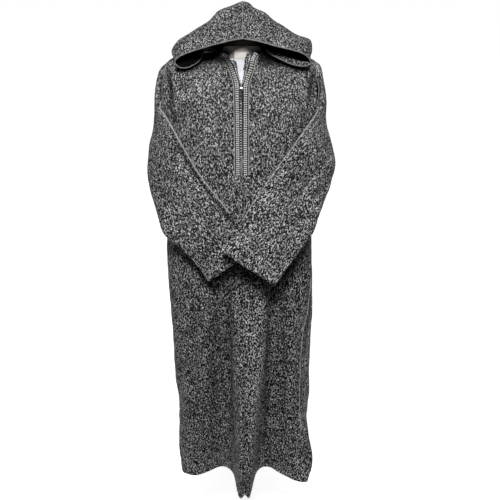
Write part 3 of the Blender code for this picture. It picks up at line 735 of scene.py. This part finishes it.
def block(bm, size, centre=(0, 0, 0), bevel=0.0, segments=1):
    """A box with rounded edges."""
    made = bmesh.ops.create_cube(bm, size=1.0)["verts"]
    bmesh.ops.scale(bm, vec=size, verts=made)
    bmesh.ops.translate(bm, vec=centre, verts=made)
    if bevel:
        edges = list({edge for vert in made for edge in vert.link_edges})
        bmesh.ops.bevel(
            bm, geom=edges, offset=bevel, offset_type="OFFSET", segments=segments, profile=0.5,
            material=-1, affect="EDGES",
        )


# Creases, given as places across and up, in metres. Side is -1 in front and 1 behind

# In these tables 'dark' is painted shade along a crease, and painted light where it is negative; lines with no depth
# carry only that.
FRONT_CREASES = [
    # Painted shade over the skirt, most at its middle: the light that the sleeves and the hood take from it.
    {"line": [(0.0, 1.20), (0.0, 0.45)], "half": 0.46, "deep": 0.0, "side": -1, "dark": 0.28, "fade": 0.1},
    # Painted light on ridges wherever 'dark' is negative, as in the next two lines, the wide line at x 0.020 and the
    # line at x 0.158.
    {"line": [(0.058, 1.20), (0.058, 0.95), (0.052, 0.78), (0.046, 0.62), (0.042, 0.50)], "half": 0.017, "deep": 0.0,
     "side": -1, "dark": -0.50, "fade": 0.3},
    {"line": [(-0.026, 1.15), (-0.028, 0.93), (-0.029, 0.70), (-0.030, 0.52)], "half": 0.009, "deep": 0.0, "side": -1,
     "dark": -0.30},
    {"line": [(-0.219, 1.755), (-0.204, 1.716), (-0.186, 1.672)], "half": 0.0065, "deep": -0.004, "side": -1,
     "dark": 0.85, "fade": 0.4},
    {"line": [(0.004, 1.20), (0.004, 0.90), (0.004, 0.55)], "half": 0.005, "deep": -0.0040, "side": -1, "dark": 0.25},
    {"line": [(0.020, 1.30), (0.018, 0.90), (0.010, 0.50)], "half": 0.046, "deep": 0.001, "side": -1, "dark": -0.22,
     "fade": 0.3},
    {"line": [(0.094, 1.28), (0.090, 0.95), (0.086, 0.72), (0.081, 0.50)], "half": 0.010, "deep": -0.008, "side": -1,
     "dark": 0.42, "fade": 0.4},
    {"line": [(0.130, 1.24), (0.139, 0.90), (0.142, 0.56)], "half": 0.012, "deep": -0.006, "side": -1, "dark": 0.34},
    {"line": [(-0.043, 1.26), (-0.047, 0.95), (-0.046, 0.72), (-0.038, 0.54)], "half": 0.010, "deep": -0.010,
     "side": -1, "dark": 0.40},
    {"line": [(-0.078, 1.22), (-0.086, 0.90), (-0.094, 0.58)], "half": 0.022, "deep": -0.008, "side": -1, "dark": 0.25},
    {"line": [(-0.126, 1.18), (-0.128, 0.86), (-0.130, 0.60)], "half": 0.014, "deep": 0.006, "side": -1},
    {"line": [(-0.156, 1.16), (-0.160, 0.90), (-0.163, 0.64)], "half": 0.012, "deep": -0.006, "side": -1, "dark": 0.2},
    {"line": [(-0.186, 1.10), (-0.194, 0.82), (-0.190, 0.60)], "half": 0.014, "deep": 0.005, "side": -1},
    {"line": [(0.158, 1.16), (0.166, 0.84), (0.168, 0.60)], "half": 0.014, "deep": 0.008, "side": -1, "dark": -0.08},
    {"line": [(0.246, 1.22), (0.232, 1.00), (0.226, 0.80), (0.232, 0.66)], "half": 0.018, "deep": -0.006, "side": -1,
     "dark": 0.45, "fade": 0.4},
    {"line": [(-0.217, 1.836), (-0.209, 1.795), (-0.203, 1.740)], "half": 0.008, "deep": -0.008, "side": -1,
     "dark": 0.95, "fade": 0.4},
    {"line": [(0.213, 1.842), (0.208, 1.790), (0.202, 1.745)], "half": 0.008, "deep": -0.008, "side": -1,
     "dark": 0.9, "fade": 0.4},
    {"line": [(-0.144, 1.784), (-0.118, 1.702), (-0.092, 1.616)], "half": 0.020, "deep": 0.003, "side": -1},
    {"line": [(-0.105, 1.770), (-0.082, 1.690), (-0.064, 1.640)], "half": 0.012, "deep": -0.0025, "side": -1},
    {"line": [(0.165, 1.784), (0.139, 1.702), (0.112, 1.616)], "half": 0.020, "deep": 0.003, "side": -1},
    {"line": [(0.120, 1.760), (0.096, 1.690), (0.080, 1.640)], "half": 0.012, "deep": -0.0025, "side": -1},
]
# Painted shadows that the sleeves cast on the front along their lower edges and cuffs.
UNDER_SLEEVES = [
    {"line": [(-0.232, 1.356), (-0.200, 1.317), (-0.168, 1.274), (-0.138, 1.234), (-0.111, 1.193)],
     "half": 0.011, "deep": 0.0, "side": -1, "dark": 0.75, "fade": 0.2},
    {"line": [(-0.111, 1.193), (-0.073, 1.224), (-0.028, 1.254), (-0.006, 1.271)],
     "half": 0.014, "deep": 0.0, "side": -1, "dark": 0.75, "fade": 0.2},
    {"line": [(-0.019, 1.261), (0.018, 1.230), (0.062, 1.207), (0.100, 1.186)],
     "half": 0.013, "deep": 0.0, "side": -1, "dark": 0.75, "fade": 0.2},
    {"line": [(0.103, 1.186), (0.137, 1.224), (0.174, 1.264), (0.212, 1.310)],
     "half": 0.012, "deep": 0.0, "side": -1, "dark": 0.75, "fade": 0.2},
]
# Painted shadow of the hood on the chest beside the neck; the left one also darkens the trims there.
LEFT_RECESS = {
    "line": [(-0.116, 1.862), (-0.095, 1.868), (-0.076, 1.872), (-0.056, 1.866), (-0.040, 1.866), (-0.020, 1.876)],
    "half": 0.022,
    "deep": 0.0, "side": -1, "dark": 0.985, "fade": 0.15,
}
RIGHT_RECESS = {
    "line": [(0.038, 1.890), (0.050, 1.873), (0.069, 1.863), (0.091, 1.860), (0.114, 1.854)], "half": 0.019,
    "deep": 0.0, "side": -1, "dark": 0.96, "fade": 0.15,
}
# Painted shadows under the hood's lower lips.
UNDER_HOOD = [
    {"line": [(-0.190, 1.838), (-0.163, 1.834), (-0.137, 1.838), (-0.117, 1.850)], "half": 0.007, "deep": 0.0,
     "side": -1, "dark": 0.85, "fade": 0.2},
    {"line": [(0.098, 1.861), (0.120, 1.852), (0.146, 1.841), (0.170, 1.836), (0.192, 1.837)], "half": 0.008,
     "deep": 0.0, "side": -1, "dark": 0.9, "fade": 0.2},
]
BACK_CREASES = [
    {"line": [(-0.130, 1.780), (-0.120, 1.560), (-0.135, 1.300)], "half": 0.018, "deep": -0.005, "side": 1},
    {"line": [(-0.020, 1.800), (-0.015, 1.600), (-0.018, 1.420)], "half": 0.014, "deep": -0.003, "side": 1},
    {"line": [(0.105, 1.770), (0.098, 1.540), (0.110, 1.250)], "half": 0.020, "deep": -0.006, "side": 1},
    {"line": [(-0.110, 1.150), (-0.112, 0.850), (-0.120, 0.600)], "half": 0.014, "deep": -0.007, "side": 1},
    {"line": [(0.000, 1.200), (-0.008, 0.900), (-0.006, 0.560)], "half": 0.012, "deep": -0.008, "side": 1},
    {"line": [(0.092, 1.100), (0.098, 0.800), (0.108, 0.520)], "half": 0.014, "deep": -0.006, "side": 1},
    {"line": [(-0.190, 1.000), (-0.196, 0.720)], "half": 0.012, "deep": -0.005, "side": 1},
    {"line": [(0.185, 1.060), (0.192, 0.760)], "half": 0.012, "deep": -0.005, "side": 1},
]
LEFT_SEAM = [
    (-0.243, -0.050, 1.748), (-0.219, -0.088, 1.711), (-0.191, -0.132, 1.672), (-0.152, -0.145, 1.604),
    (-0.110, -0.153, 1.536), (-0.058, -0.160, 1.470), (-0.034, -0.161, 1.437),
]
RIGHT_SEAM = [
    (0.232, -0.050, 1.730), (0.218, -0.084, 1.715), (0.180, -0.134, 1.676), (0.132, -0.154, 1.612),
    (0.080, -0.172, 1.544), (0.030, -0.190, 1.472), (0.004, -0.197, 1.431),
]
# In each sleeve's table the first two lines are painted shade: in the groove beside the inner seam, and at the armhole.
SLEEVE_LEFT_CREASES = [
    {"line": [(-0.210, 1.678), (-0.199, 1.664), (-0.160, 1.598), (-0.117, 1.529), (-0.065, 1.463), (-0.012, 1.393)],
     "half": 0.0055, "deep": -0.0065, "side": -1, "dark": 0.85, "fade": 0.25},
    {"line": [(-0.228, 1.800), (-0.219, 1.755), (-0.208, 1.705)], "half": 0.007, "deep": -0.008, "side": -1,
     "dark": 0.85, "fade": 0.4},
    {"line": [(-0.208, 1.586), (-0.175, 1.554), (-0.138, 1.500)], "half": 0.010, "deep": 0.003, "side": -1},
    {"line": [(-0.232, 1.560), (-0.196, 1.520), (-0.160, 1.470)], "half": 0.010, "deep": -0.004, "side": -1},
    {"line": [(-0.276, 1.500), (-0.240, 1.470), (-0.205, 1.440)], "half": 0.010, "deep": -0.004, "side": -1},
    {"line": [(-0.169, 1.334), (-0.144, 1.292), (-0.120, 1.255)], "half": 0.008, "deep": -0.003, "side": -1},
    {"line": [(-0.100, 1.440), (-0.060, 1.390), (-0.030, 1.340)], "half": 0.012, "deep": 0.003, "side": -1},
    {"line": [(-0.255, 1.700), (-0.270, 1.600), (-0.262, 1.500)], "half": 0.014, "deep": -0.005, "side": 1},
]
SLEEVE_RIGHT_CREASES = [
    {"line": [(0.224, 1.709), (0.187, 1.668), (0.139, 1.606), (0.086, 1.537), (0.036, 1.465), (-0.011, 1.390)],
     "half": 0.0045, "deep": -0.0030, "side": -1, "dark": 0.3, "fade": 0.25},
    {"line": [(0.224, 1.812), (0.219, 1.760), (0.211, 1.712)], "half": 0.007, "deep": -0.007, "side": -1,
     "dark": 0.75, "fade": 0.4},
    {"line": [(0.205, 1.600), (0.172, 1.560), (0.140, 1.510)], "half": 0.011, "deep": 0.003, "side": -1},
    {"line": [(0.236, 1.575), (0.200, 1.530), (0.165, 1.480)], "half": 0.010, "deep": -0.004, "side": -1},
    {"line": [(0.270, 1.530), (0.236, 1.490), (0.208, 1.460)], "half": 0.010, "deep": -0.004, "side": -1},
    {"line": [(0.172, 1.404), (0.142, 1.434), (0.110, 1.440)], "half": 0.016, "deep": 0.003, "side": -1},
    {"line": [(0.160, 1.330), (0.130, 1.290), (0.110, 1.262)], "half": 0.008, "deep": -0.003, "side": -1},
    {"line": [(0.245, 1.700), (0.262, 1.620), (0.256, 1.520)], "half": 0.014, "deep": -0.005, "side": 1},
]
HOOD_LEFT_CREASES = [
    # Painted shade in the first line, on the hood's lower lip beside the neck.
    {"line": [(-0.116, 1.868), (-0.095, 1.878), (-0.070, 1.886), (-0.050, 1.890)], "half": 0.012, "deep": 0.0,
     "side": -1, "dark": 0.97, "fade": 0.2},
    {"line": [(-0.020, 1.990), (-0.060, 1.950), (-0.100, 1.920)], "half": 0.012, "deep": -0.003, "side": -1},
    {"line": [(-0.090, 1.950), (-0.130, 1.920), (-0.170, 1.900)], "half": 0.010, "deep": 0.003, "side": -1},
    {"line": [(-0.040, 1.960), (-0.080, 1.930), (-0.120, 1.890)], "half": 0.014, "deep": -0.004, "side": 1},
]
HOOD_RIGHT_CREASES = [
    {"line": [(0.030, 1.995), (0.060, 1.960), (0.105, 1.930)], "half": 0.012, "deep": -0.003, "side": -1},
    {"line": [(0.080, 1.960), (0.130, 1.930), (0.175, 1.905)], "half": 0.010, "deep": 0.003, "side": -1},
    {"line": [(0.050, 1.955), (0.090, 1.925), (0.125, 1.885)], "half": 0.014, "deep": -0.004, "side": 1},
]
SLEEVE_LEAN = 32
HOOD_SLOPE = 51
MOUTH_MIDDLE = (0.004, -0.086, 1.920)


# Small shifts of an outline: a place across and up, how far round it they reach, and the shift
PULLS = {
    "front": [
        {"place": (0.245, 0.540), "reach": 0.090, "shift": (0.014, 0.000)},
        {"place": (0.256, 0.490), "reach": 0.035, "shift": (0.006, 0.000)},
        {"place": (0.236, 0.430), "reach": 0.022, "shift": (-0.007, -0.008)},
        {"place": (-0.215, 0.440), "reach": 0.032, "shift": (-0.004, -0.006)},
        {"place": (-0.222, 0.434), "reach": 0.013, "shift": (0.000, -0.014)},
        {"place": (0.016, 0.440), "reach": 0.030, "shift": (0.004, 0.000)},
        {"place": (0.042, 1.876), "reach": 0.020, "shift": (-0.016, 0.002)},
        {"place": (0.226, 1.850), "reach": 0.030, "shift": (0.005, 0.007)},
        {"place": (-0.240, 0.700), "reach": 0.070, "shift": (0.007, 0.000)},
    ],
    "back": [
        {"place": (-0.240, 0.700), "reach": 0.070, "shift": (0.007, 0.000)},
        {"place": (0.236, 0.710), "reach": 0.060, "shift": (0.006, 0.000)},
        {"place": (0.226, 1.850), "reach": 0.030, "shift": (0.005, 0.007)},
    ],
    "sleeve_left": [
        {"place": (-0.232, 1.372), "reach": 0.040, "shift": (-0.010, -0.006)},
        {"place": (-0.092, 1.235), "reach": 0.035, "shift": (-0.004, -0.009)},
    ],
    "sleeve_right": [
        {"place": (0.209, 1.378), "reach": 0.040, "shift": (0.007, -0.006)},
        {"place": (-0.050, 1.326), "reach": 0.030, "shift": (-0.008, 0.007)},
        {"place": (0.226, 1.850), "reach": 0.030, "shift": (0.005, 0.007)},
        {"place": (0.090, 1.235), "reach": 0.035, "shift": (0.003, -0.008)},
    ],
    "hood_left": [
        {"place": (-0.070, 1.992), "reach": 0.026, "shift": (-0.004, 0.012)},
        {"place": (-0.004, 2.022), "reach": 0.036, "shift": (0.000, 0.006)},
        {"place": (-0.020, 2.020), "reach": 0.013, "shift": (0.000, 0.004)},
        {"place": (-0.042, 2.008), "reach": 0.024, "shift": (-0.003, 0.007)},
        {"place": (-0.213, 1.890), "reach": 0.030, "shift": (0.012, 0.000)},
    ],
    "hood_right": [
        {"place": (0.068, 1.994), "reach": 0.026, "shift": (0.004, 0.010)},
        {"place": (0.012, 2.022), "reach": 0.036, "shift": (0.000, 0.006)},
        {"place": (0.026, 2.018), "reach": 0.014, "shift": (0.002, 0.006)},
        {"place": (0.212, 1.882), "reach": 0.020, "shift": (-0.010, 0.000)},
        {"place": (0.188, 1.914), "reach": 0.022, "shift": (0.010, 0.007)},
    ],
}


def pulled(bm, pulls):
    """Shifts the points round a few places."""
    for vert in bm.verts:
        flat = Vector((vert.co.x - POLE.x, vert.co.z))
        for pull in pulls:
            away = (flat - Vector(pull["place"])).length / pull["reach"]
            weight = math.exp(-away * away)
            vert.co.x += pull["shift"][0] * weight
            vert.co.z += pull["shift"][1] * weight


def mouth_line(piece, side):
    """The edge of one half of the hood round its mouth."""
    foot = at(side * 0.072, -0.020, 1.889)
    return edge_line(piece, foot, at(*MOUTH_MIDDLE), at(side * 0.17, -0.11, 1.845))


def line_hood(piece, inside_shade, side, facing):
    """Gives a half of the hood a near-black inner side, painted shade of its inside, with a facing of wool along the
    mouth.
    """
    mesh = piece.data
    wool = mesh.materials[0]
    mesh.materials.append(inside_shade)
    mesh.materials.append(wool)
    line = np.array(spread(mouth_line(piece, side), 0.003))
    middles = np.array([face.center for face in mesh.polygons])
    away = np.array([np.linalg.norm(line - middle, axis=1).min() for middle in middles])
    mesh.polygons.foreach_set("material_index", np.where(away < facing, 2, 0).astype(np.int32))
    piece.modifiers["thickness"].material_offset = 1


def add_cloth():
    """The panels, the sleeves and the two halves of the hood."""
    body = marled_wool("marled_wool_body")
    inside_shade = painted_hood_shade()
    # Painted light: each piece's wool is scaled by its own light level, the hood's darkest and the right sleeve's
    # lightest, for how the key light falls on it.
    left = marled_wool("marled_wool_sleeve_left", (0, -SLEEVE_LEAN, 0), 0.94)
    right = marled_wool("marled_wool_sleeve_right", (0, SLEEVE_LEAN, 0), 1.05)
    hood = marled_wool("marled_wool_hood", (-HOOD_SLOPE, 0, 0), 0.80)
    made = {
        "front": cloth("front", body, 2, FRONT_CREASES + UNDER_SLEEVES + UNDER_HOOD + [LEFT_RECESS, RIGHT_RECESS],
                       halve_tall_faces),
        "back": cloth("back", body, 2, BACK_CREASES, halve_all_faces),
        "sleeve_left": cloth("sleeve_left", left, 3, SLEEVE_LEFT_CREASES),
        "sleeve_right": cloth("sleeve_right", right, 3, SLEEVE_RIGHT_CREASES),
        "hood_left": cloth("hood_left", hood, 3, HOOD_LEFT_CREASES),
        "hood_right": cloth("hood_right", hood, 3, HOOD_RIGHT_CREASES),
    }
    line_hood(made["hood_left"], inside_shade, -1, 0.001)
    line_hood(made["hood_right"], inside_shade, 1, 0.015)
    return made


def on_surface(surface, points, lift):
    """Moves points to a surface, and a little out of it."""
    out = []
    for point in points:
        place, normal, _, _ = surface.find_nearest(point)
        out.append(place + normal * lift)
    return out


RIGHT_SIDE_SEAM = [
    (0.226, 1.178), (0.217, 1.080), (0.201, 0.982), (0.197, 0.877), (0.197, 0.786), (0.200, 0.700), (0.206, 0.620),
]


def add_seams(made, raised, bound):
    """The seams: along the sleeves, the sides, the shoulders and armholes, and the hood."""
    bm = bmesh.new()
    for name, points, radius in (("sleeve_left", LEFT_SEAM, 0.0021), ("sleeve_right", RIGHT_SEAM, 0.0014)):
        line = smooth_line([at(*p) for p in points], 160)
        add_tube(bm, on_surface(surface_of(made[name]), line, 0.0006), radius)
    surface = surface_of(made["front"])
    turned = [surface.ray_cast(at(x, -0.5, z), Vector((0, 1, 0)))[0] for x, z in RIGHT_SIDE_SEAM]
    add_tube(bm, on_surface(surface, smooth_line(turned, 120), 0.0006), 0.0015)
    dress(new_piece(bm, "raised_seams", raised), "marled_wool")
    bm = bmesh.new()
    for side in (-1, 1):
        low, high = at(side * 0.24, 0.0, SLIT_TOP_Z), at(side * 0.23, 0.0, UNDERARM_Z)
        seam = edge_line(made["front"], low, high, at(side * 0.24, 0.0, 1.1))
        add_tube(bm, spread(seam, 0.006), 0.0016)
        neck, tip = at(side * 0.078, 0.0, 1.884), at(side * 0.214, 0.0, 1.858)
        seam = edge_line(made["front"], neck, tip, at(side * 0.15, 0.0, 1.876))
        add_tube(bm, spread(seam, 0.005), 0.0014)
    for side, name in ((-1, "sleeve_left"), (1, "sleeve_right")):
        top, low = at(side * 0.222, 0.0, 1.858), at(side * 0.228, 0.0, UNDERARM_Z)
        for way in (-1, 1):
            seam = edge_line(made[name], top, low, at(side * 0.225, way * 0.046, 1.76))
            add_tube(bm, spread(seam, 0.005), 0.0015)
    seam = edge_line(made["back"], at(-0.078, 0.0, 1.884), at(0.078, 0.0, 1.884), at(0.0, 0.09, 1.876))
    add_tube(bm, spread(seam, 0.005), 0.0032)
    ridge = edge_line(made["hood_left"], at(*MOUTH_MIDDLE), at(0.004, 0.222, 1.938), at(0.004, 0.04, 2.022))
    add_tube(bm, spread(ridge, 0.005), 0.0010)
    seam = edge_line(made["hood_left"], at(0.0, 0.086, 1.876), at(0.004, 0.222, 1.938), at(0.0, 0.15, 1.90))
    add_tube(bm, spread(seam, 0.005), 0.0013)
    dress(keep_recess(new_piece(bm, "seams", bound)), "marled_wool")


def add_hood_rim(made, bound):
    """The narrow bound edge round the hood's mouth."""
    bm = bmesh.new()
    for side, name in ((-1, "hood_left"), (1, "hood_right")):
        add_tube(bm, spread(mouth_line(made[name], side), 0.004), 0.0019, sides=8)
    dress(keep_recess(new_piece(bm, "hood_rim", bound)), "marled_wool")


# Trims on the front


def zip_line(foot_z, side=-1):
    """The edge that the zip closes, in fine steps from its foot up to the neckline."""
    first = Vector((0.0, foot_z))
    neck = [Vector(p) for p in NECK_EDGES[side]]
    points = [first.lerp(neck[0], k / 4) for k in range(4)] + neck
    return [Vector((max(p.x, 0.0), p.y)) for p in smooth_line(points, 240)]


def laid(surface, line, side, offset, pitch, lift, shift=0.0):
    """Matrices on the front beside the zip's line: X across it, Y out of the cloth, Z up the line."""
    places = spread([Vector((p.x, 0.0, p.y)) for p in line], pitch)
    out = []
    for i, point in enumerate(places):
        ahead = (places[min(i + 1, len(places) - 1)] - places[max(i - 1, 0)]).normalized()
        aside = Vector((ahead.z, 0.0, -ahead.x))
        flat = point + aside * offset + ahead * shift
        start = at(flat.x * side, -0.5, flat.z)
        place, normal, _, _ = surface.ray_cast(start, Vector((0, 1, 0)))
        if place is None:
            place, normal, _, _ = surface.find_nearest(at(flat.x * side, -0.12, flat.z))
        up = Vector((ahead.x * side, 0.0, ahead.z))
        up = (up - normal * up.dot(normal)).normalized()
        turn = Matrix((normal.cross(up), normal, up)).transposed().to_4x4()
        out.append(Matrix.Translation(place + normal * lift) @ turn)
    return out


def strip(bm, near, far):
    """A flat band between two rows of places."""
    made = bmesh.ops.create_vert(bm, co=near[0].translation)["vert"]
    made += bmesh.ops.create_vert(bm, co=far[0].translation)["vert"]
    edge = bm.edges.new(made)
    for a, b in zip(near[1:], far[1:]):
        geom = bmesh.ops.extrude_edge_only(bm, edges=[edge])["geom"]
        edge = next(e for e in geom if isinstance(e, bmesh.types.BMEdge))
        edge.verts[0].co = a.translation
        edge.verts[1].co = b.translation


def band(name, surface, line, side, offsets, lift, thick, look):
    """A flat band with a little thickness beside the zip's line."""
    bm = bmesh.new()
    inner, outer = (laid(surface, line, side, offset, 0.006, lift) for offset in offsets)
    strip(bm, inner, outer)
    bmesh.ops.recalc_face_normals(bm, faces=bm.faces)
    piece = keep_recess(new_piece(bm, name, look))
    solid = piece.modifiers.new("thickness", "SOLIDIFY")
    solid.thickness = thick
    solid.offset = 0
    return piece


def keep_recess(piece, light=1.0):
    """Stores the painted shade of the hood beside the neck on a trim, times light, which is the trim's own tone: 0.6
    for the cords' darker yarn.
    """
    points = np.array([v.co for v in piece.data.vertices])
    ways = np.zeros_like(points)
    ways[:, 1] = np.sign(points[:, 1] - POLE.y)
    keep_shade(piece, light * crease_reach(points, ways, [LEFT_RECESS | {"half": 0.026}])[1])
    return piece


def yarn_loop():
    """One leg of a braid's stitch, a plump bit of yarn."""
    bm = bmesh.new()
    bmesh.ops.create_uvsphere(bm, u_segments=8, v_segments=5, radius=1.0)
    bmesh.ops.rotate(bm, cent=(0, 0, 0), matrix=Matrix.Rotation(math.pi / 2, 3, "Y"), verts=bm.verts)
    bmesh.ops.scale(bm, vec=(0.0029, 0.0017, 0.0021), verts=bm.verts)
    return as_shape(bm, "yarn_loop")


def add_braids(surface):
    """On each side of the zip: a braid of two columns of stitches, and a thin twisted cord outside it."""
    yarn, ground = braid_yarn(), braid_ground()
    loop = yarn_loop()
    for side, word in ((-1, "left"), (1, "right")):
        line = zip_line(BRAID_FOOT_Z, side)
        base = band("braid_ground_" + word, surface, line, side, BRAID_EDGES, 0.0016, 0.0010, ground)
        dress(base, "grey_braid")
        bm = bmesh.new()
        for column, tilt in zip(BRAID_COLUMNS, (16, -16)):
            lean = Matrix.Rotation(math.radians(tilt * side), 4, "Y")
            for place in laid(surface, line, side, column, BRAID_PITCH, 0.0029):
                stamp(bm, loop, place @ lean)
        stitches = keep_recess(new_piece(bm, "braid_stitches_" + word, yarn, angle=80))
        dress(stitches, "grey_braid", "braid_" + word)
        bm = bmesh.new()
        middle = laid(surface, line, side, CORD_PLACE, CORD_PITCH / 8, 0.0019)
        for start in (0.0, math.pi):
            points = []
            for i, place in enumerate(middle):
                turn = start + side * 2 * math.pi * i / 8
                points.append(place @ Vector((0.00065 * math.cos(turn), 0.00065 * math.sin(turn), 0.0)))
            add_tube(bm, points, 0.00085, sides=5)
        dress(keep_recess(new_piece(bm, "edge_cord_" + word, yarn), 0.6), "grey_braid", "edging_" + word)


def facing(surface, line, side, widths, look):
    """The turned-in edge beside the open zip, wide at the neck and narrow at the slider."""
    outer = laid(surface, line, side, 0.0012, 0.005, -0.0014)
    inner = []
    for i, place in enumerate(outer):
        width = float(np.interp(i / (len(outer) - 1), FACING_SHARES, widths))
        inner.append(place @ Matrix.Translation((side * (width + 0.0012), -0.25 * width, 0)))
    bm = bmesh.new()
    strip(bm, outer, inner)
    bmesh.ops.recalc_face_normals(bm, faces=bm.faces)
    piece = new_piece(bm, "neck_facing_" + ("left" if side < 0 else "right"), look)
    # Painted shade: the turned-in facing is darkened to 0.8 of its wool.
    keep_shade(piece, np.full(len(piece.data.vertices), 0.8))
    solid = piece.modifiers.new("thickness", "SOLIDIFY")
    solid.thickness = 0.0012
    solid.offset = 0
    return dress(piece, "marled_wool")


def zip_tooth():
    """One metal tooth of the zip."""
    bm = bmesh.new()
    block(bm, (0.0052, 0.0022, 0.0031), bevel=0.0006)
    return as_shape(bm, "zip_tooth")


def add_zip(surface, wool, edge_yarn):
    """The closed teeth below the slider, the open teeth along the neck edges, and their tape."""
    tape, metal, bright = black_tape(), dark_metal(), highlight_tooth_metal()
    shaker = random.Random(7)
    tooth = zip_tooth()
    closed = [p for p in zip_line(ZIP_FOOT_Z) if p.y < SLIDER_Z - 0.004]
    base = band("zip_tape", surface, closed, 1, (-0.0052, 0.0052), 0.0010, 0.0008, tape)
    dress(base, "zip_metal", "zip_chain")
    closed_teeth = {-1: bmesh.new(), 1: bmesh.new()}
    bm_open = bmesh.new()
    bm_edge = bmesh.new()
    for side in (-1, 1):
        shift = TOOTH_PITCH / 4 * side
        for place in laid(surface, closed, 1, side * 0.0015, TOOTH_PITCH, 0.0024, shift):
            lean = Matrix.Rotation(math.radians(shaker.uniform(-14, 14)), 4, "X")
            stamp(closed_teeth[side], tooth, place @ lean)
        neck = [p for p in zip_line(ZIP_FOOT_Z, side) if p.y > SLIDER_Z + 0.006]
        facing(surface, neck, side, FACING_WIDTHS[side], wool)
        edge = neck + [Vector(NECK_CORD_END)] if side < 0 else neck
        edge_places = [place.translation for place in laid(surface, edge, side, 0.0, 0.004, 0.0010)]
        add_tube(bm_edge, edge_places, 0.0013)
        upper = [p for p in neck if p.y > 1.812]
        for place in laid(surface, upper, side, -0.0016, TOOTH_PITCH, 0.0012):
            stamp(bm_open, tooth, place)
        name = "neck_tape_" + ("left" if side < 0 else "right")
        dress(band(name, surface, neck, side, (0.0006, 0.0058), 0.0009, 0.0007, tape), "zip_metal")
    # Painted highlight and shade: the left row of closed teeth takes bright metal and the right row dark metal, though
    # both rows are the same metal.
    dress(new_piece(closed_teeth[-1], "zip_teeth_left", bright), "zip_metal")
    dress(new_piece(closed_teeth[1], "zip_teeth_right", metal), "zip_metal")
    dress(new_piece(bm_open, "open_zip_teeth", metal), "zip_metal")
    dress(new_piece(bm_edge, "neck_edge_cord", edge_yarn), "marled_wool")
    return metal


def add_placket_strip(surface, bound):
    """The plain strip between the braids, below the zip's foot."""
    line = [Vector((0.0, BRAID_FOOT_Z + 0.001)), Vector((0.0, ZIP_FOOT_Z))]
    dress(band("placket_strip", surface, line, 1, (-0.0036, 0.0036), 0.0012, 0.0008, bound), "marled_wool")


def add_slider(surface, metal):
    """The slider, with its two lugs and its pin, and the pull tab that hangs on it."""
    seat = laid(surface, [Vector((0.0, SLIDER_Z - 0.001)), Vector((0.0, SLIDER_Z + 0.001))], 1, 0.0, 0.001, 0.0038)[1]
    bm = bmesh.new()
    block(bm, (0.0088, 0.0018, 0.0116), (0, 0.0010, 0), bevel=0.0007, segments=3)
    foot = [v for v in bm.verts if v.co.z < -0.002]
    bmesh.ops.scale(bm, vec=(0.76, 1, 1), verts=foot)
    block(bm, (0.0070, 0.0012, 0.0090), (0, 0.0024, 0.0004), bevel=0.0006, segments=3)
    block(bm, (0.0086, 0.0012, 0.0112), (0, -0.0014, 0), bevel=0.0004, segments=2)
    pivot = seat.inverted() @ Vector(TAB_HINGE["pos_m"])
    for side in (-1, 1):
        block(bm, (0.0009, 0.0064, 0.0034), (side * 0.0027, pivot.y - 0.0022, pivot.z), bevel=0.0004, segments=2)
    pin = Matrix.Translation((0, pivot.y, pivot.z)) @ Matrix.Rotation(math.pi / 2, 4, "Y")
    bmesh.ops.create_cone(bm, cap_ends=True, segments=12, radius1=0.0006, radius2=0.0006, depth=0.0062, matrix=pin)
    bmesh.ops.transform(bm, matrix=seat, verts=bm.verts)
    dress(new_piece(bm, "slider", metal), "zip_metal", "zip_slider")
    bm = bmesh.new()
    hinge = Vector(TAB_HINGE["pos_m"])
    around = Matrix.Translation(hinge) @ Matrix.Rotation(math.pi / 2, 4, "Y")
    bmesh.ops.create_cone(bm, cap_ends=True, segments=14, radius1=0.0013, radius2=0.0013, depth=0.0036, matrix=around)
    block(bm, (0.0034, 0.0011, 0.0120), hinge + Vector((0, 0, -0.0062)), bevel=0.0003, segments=2)
    for side in (-1, 1):
        block(bm, (0.0011, 0.0015, 0.0150), hinge + Vector((side * 0.0020, 0, -0.0192)), bevel=0.0004, segments=2)
    for drop in (0.0122, 0.0272):
        block(bm, (0.0051, 0.0016, 0.0030), hinge + Vector((0, 0, -drop)), bevel=0.0005, segments=2)
    dress(new_piece(bm, "pull_tab", metal), "zip_metal", "zip_tab", body=TAB_BODY)


# Form and stand


def paint(node, look):
    """Gives a solid that stays in view a better material."""
    data = NODES[node].data
    data.materials.clear()
    data.materials.append(look)


def add_form():
    """The form's cloth cover, its cap, its plain label with a sewn edge, and the stand."""
    paint("form_torso", jersey_and_linen())
    paint("form_cap", dark_wood())
    paint("form_label", label_tape())
    paint("stand_pole", brushed_steel("brushed_pole", (1, 1, 0.05)))
    paint("stand_base", brushed_steel("brushed_base", (1, 1, 1)))
    low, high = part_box("form_label")
    surface = surface_of(NODES["form_label"])
    bm = bmesh.new()
    inset = 0.0022
    for z in (low.z + inset, high.z - inset):
        x = low.x + inset
        while x < high.x - inset:
            starts = [Vector((x + reach, low.y - 0.02, z)) for reach in (0.0, 0.0018)]
            hits = [surface.ray_cast(start, Vector((0, 1, 0)))[0] for start in starts]
            if all(hits):
                add_tube(bm, hits, 0.00022, sides=5)
            x += 0.0030
    dress(new_piece(bm, "label_stitches", stitch_thread()), "label_tape")


add_camera()
add_stage()
cloths = add_cloth()
bound_edge, raised_edge = bound_wool(), seam_yarn()
add_seams(cloths, raised_edge, bound_edge)
add_hood_rim(cloths, bound_edge)
front = surface_of(cloths["front"])
add_braids(front)
add_placket_strip(front, bound_edge)
add_slider(front, add_zip(front, cloths["front"].data.materials[0], raised_edge))
add_form()

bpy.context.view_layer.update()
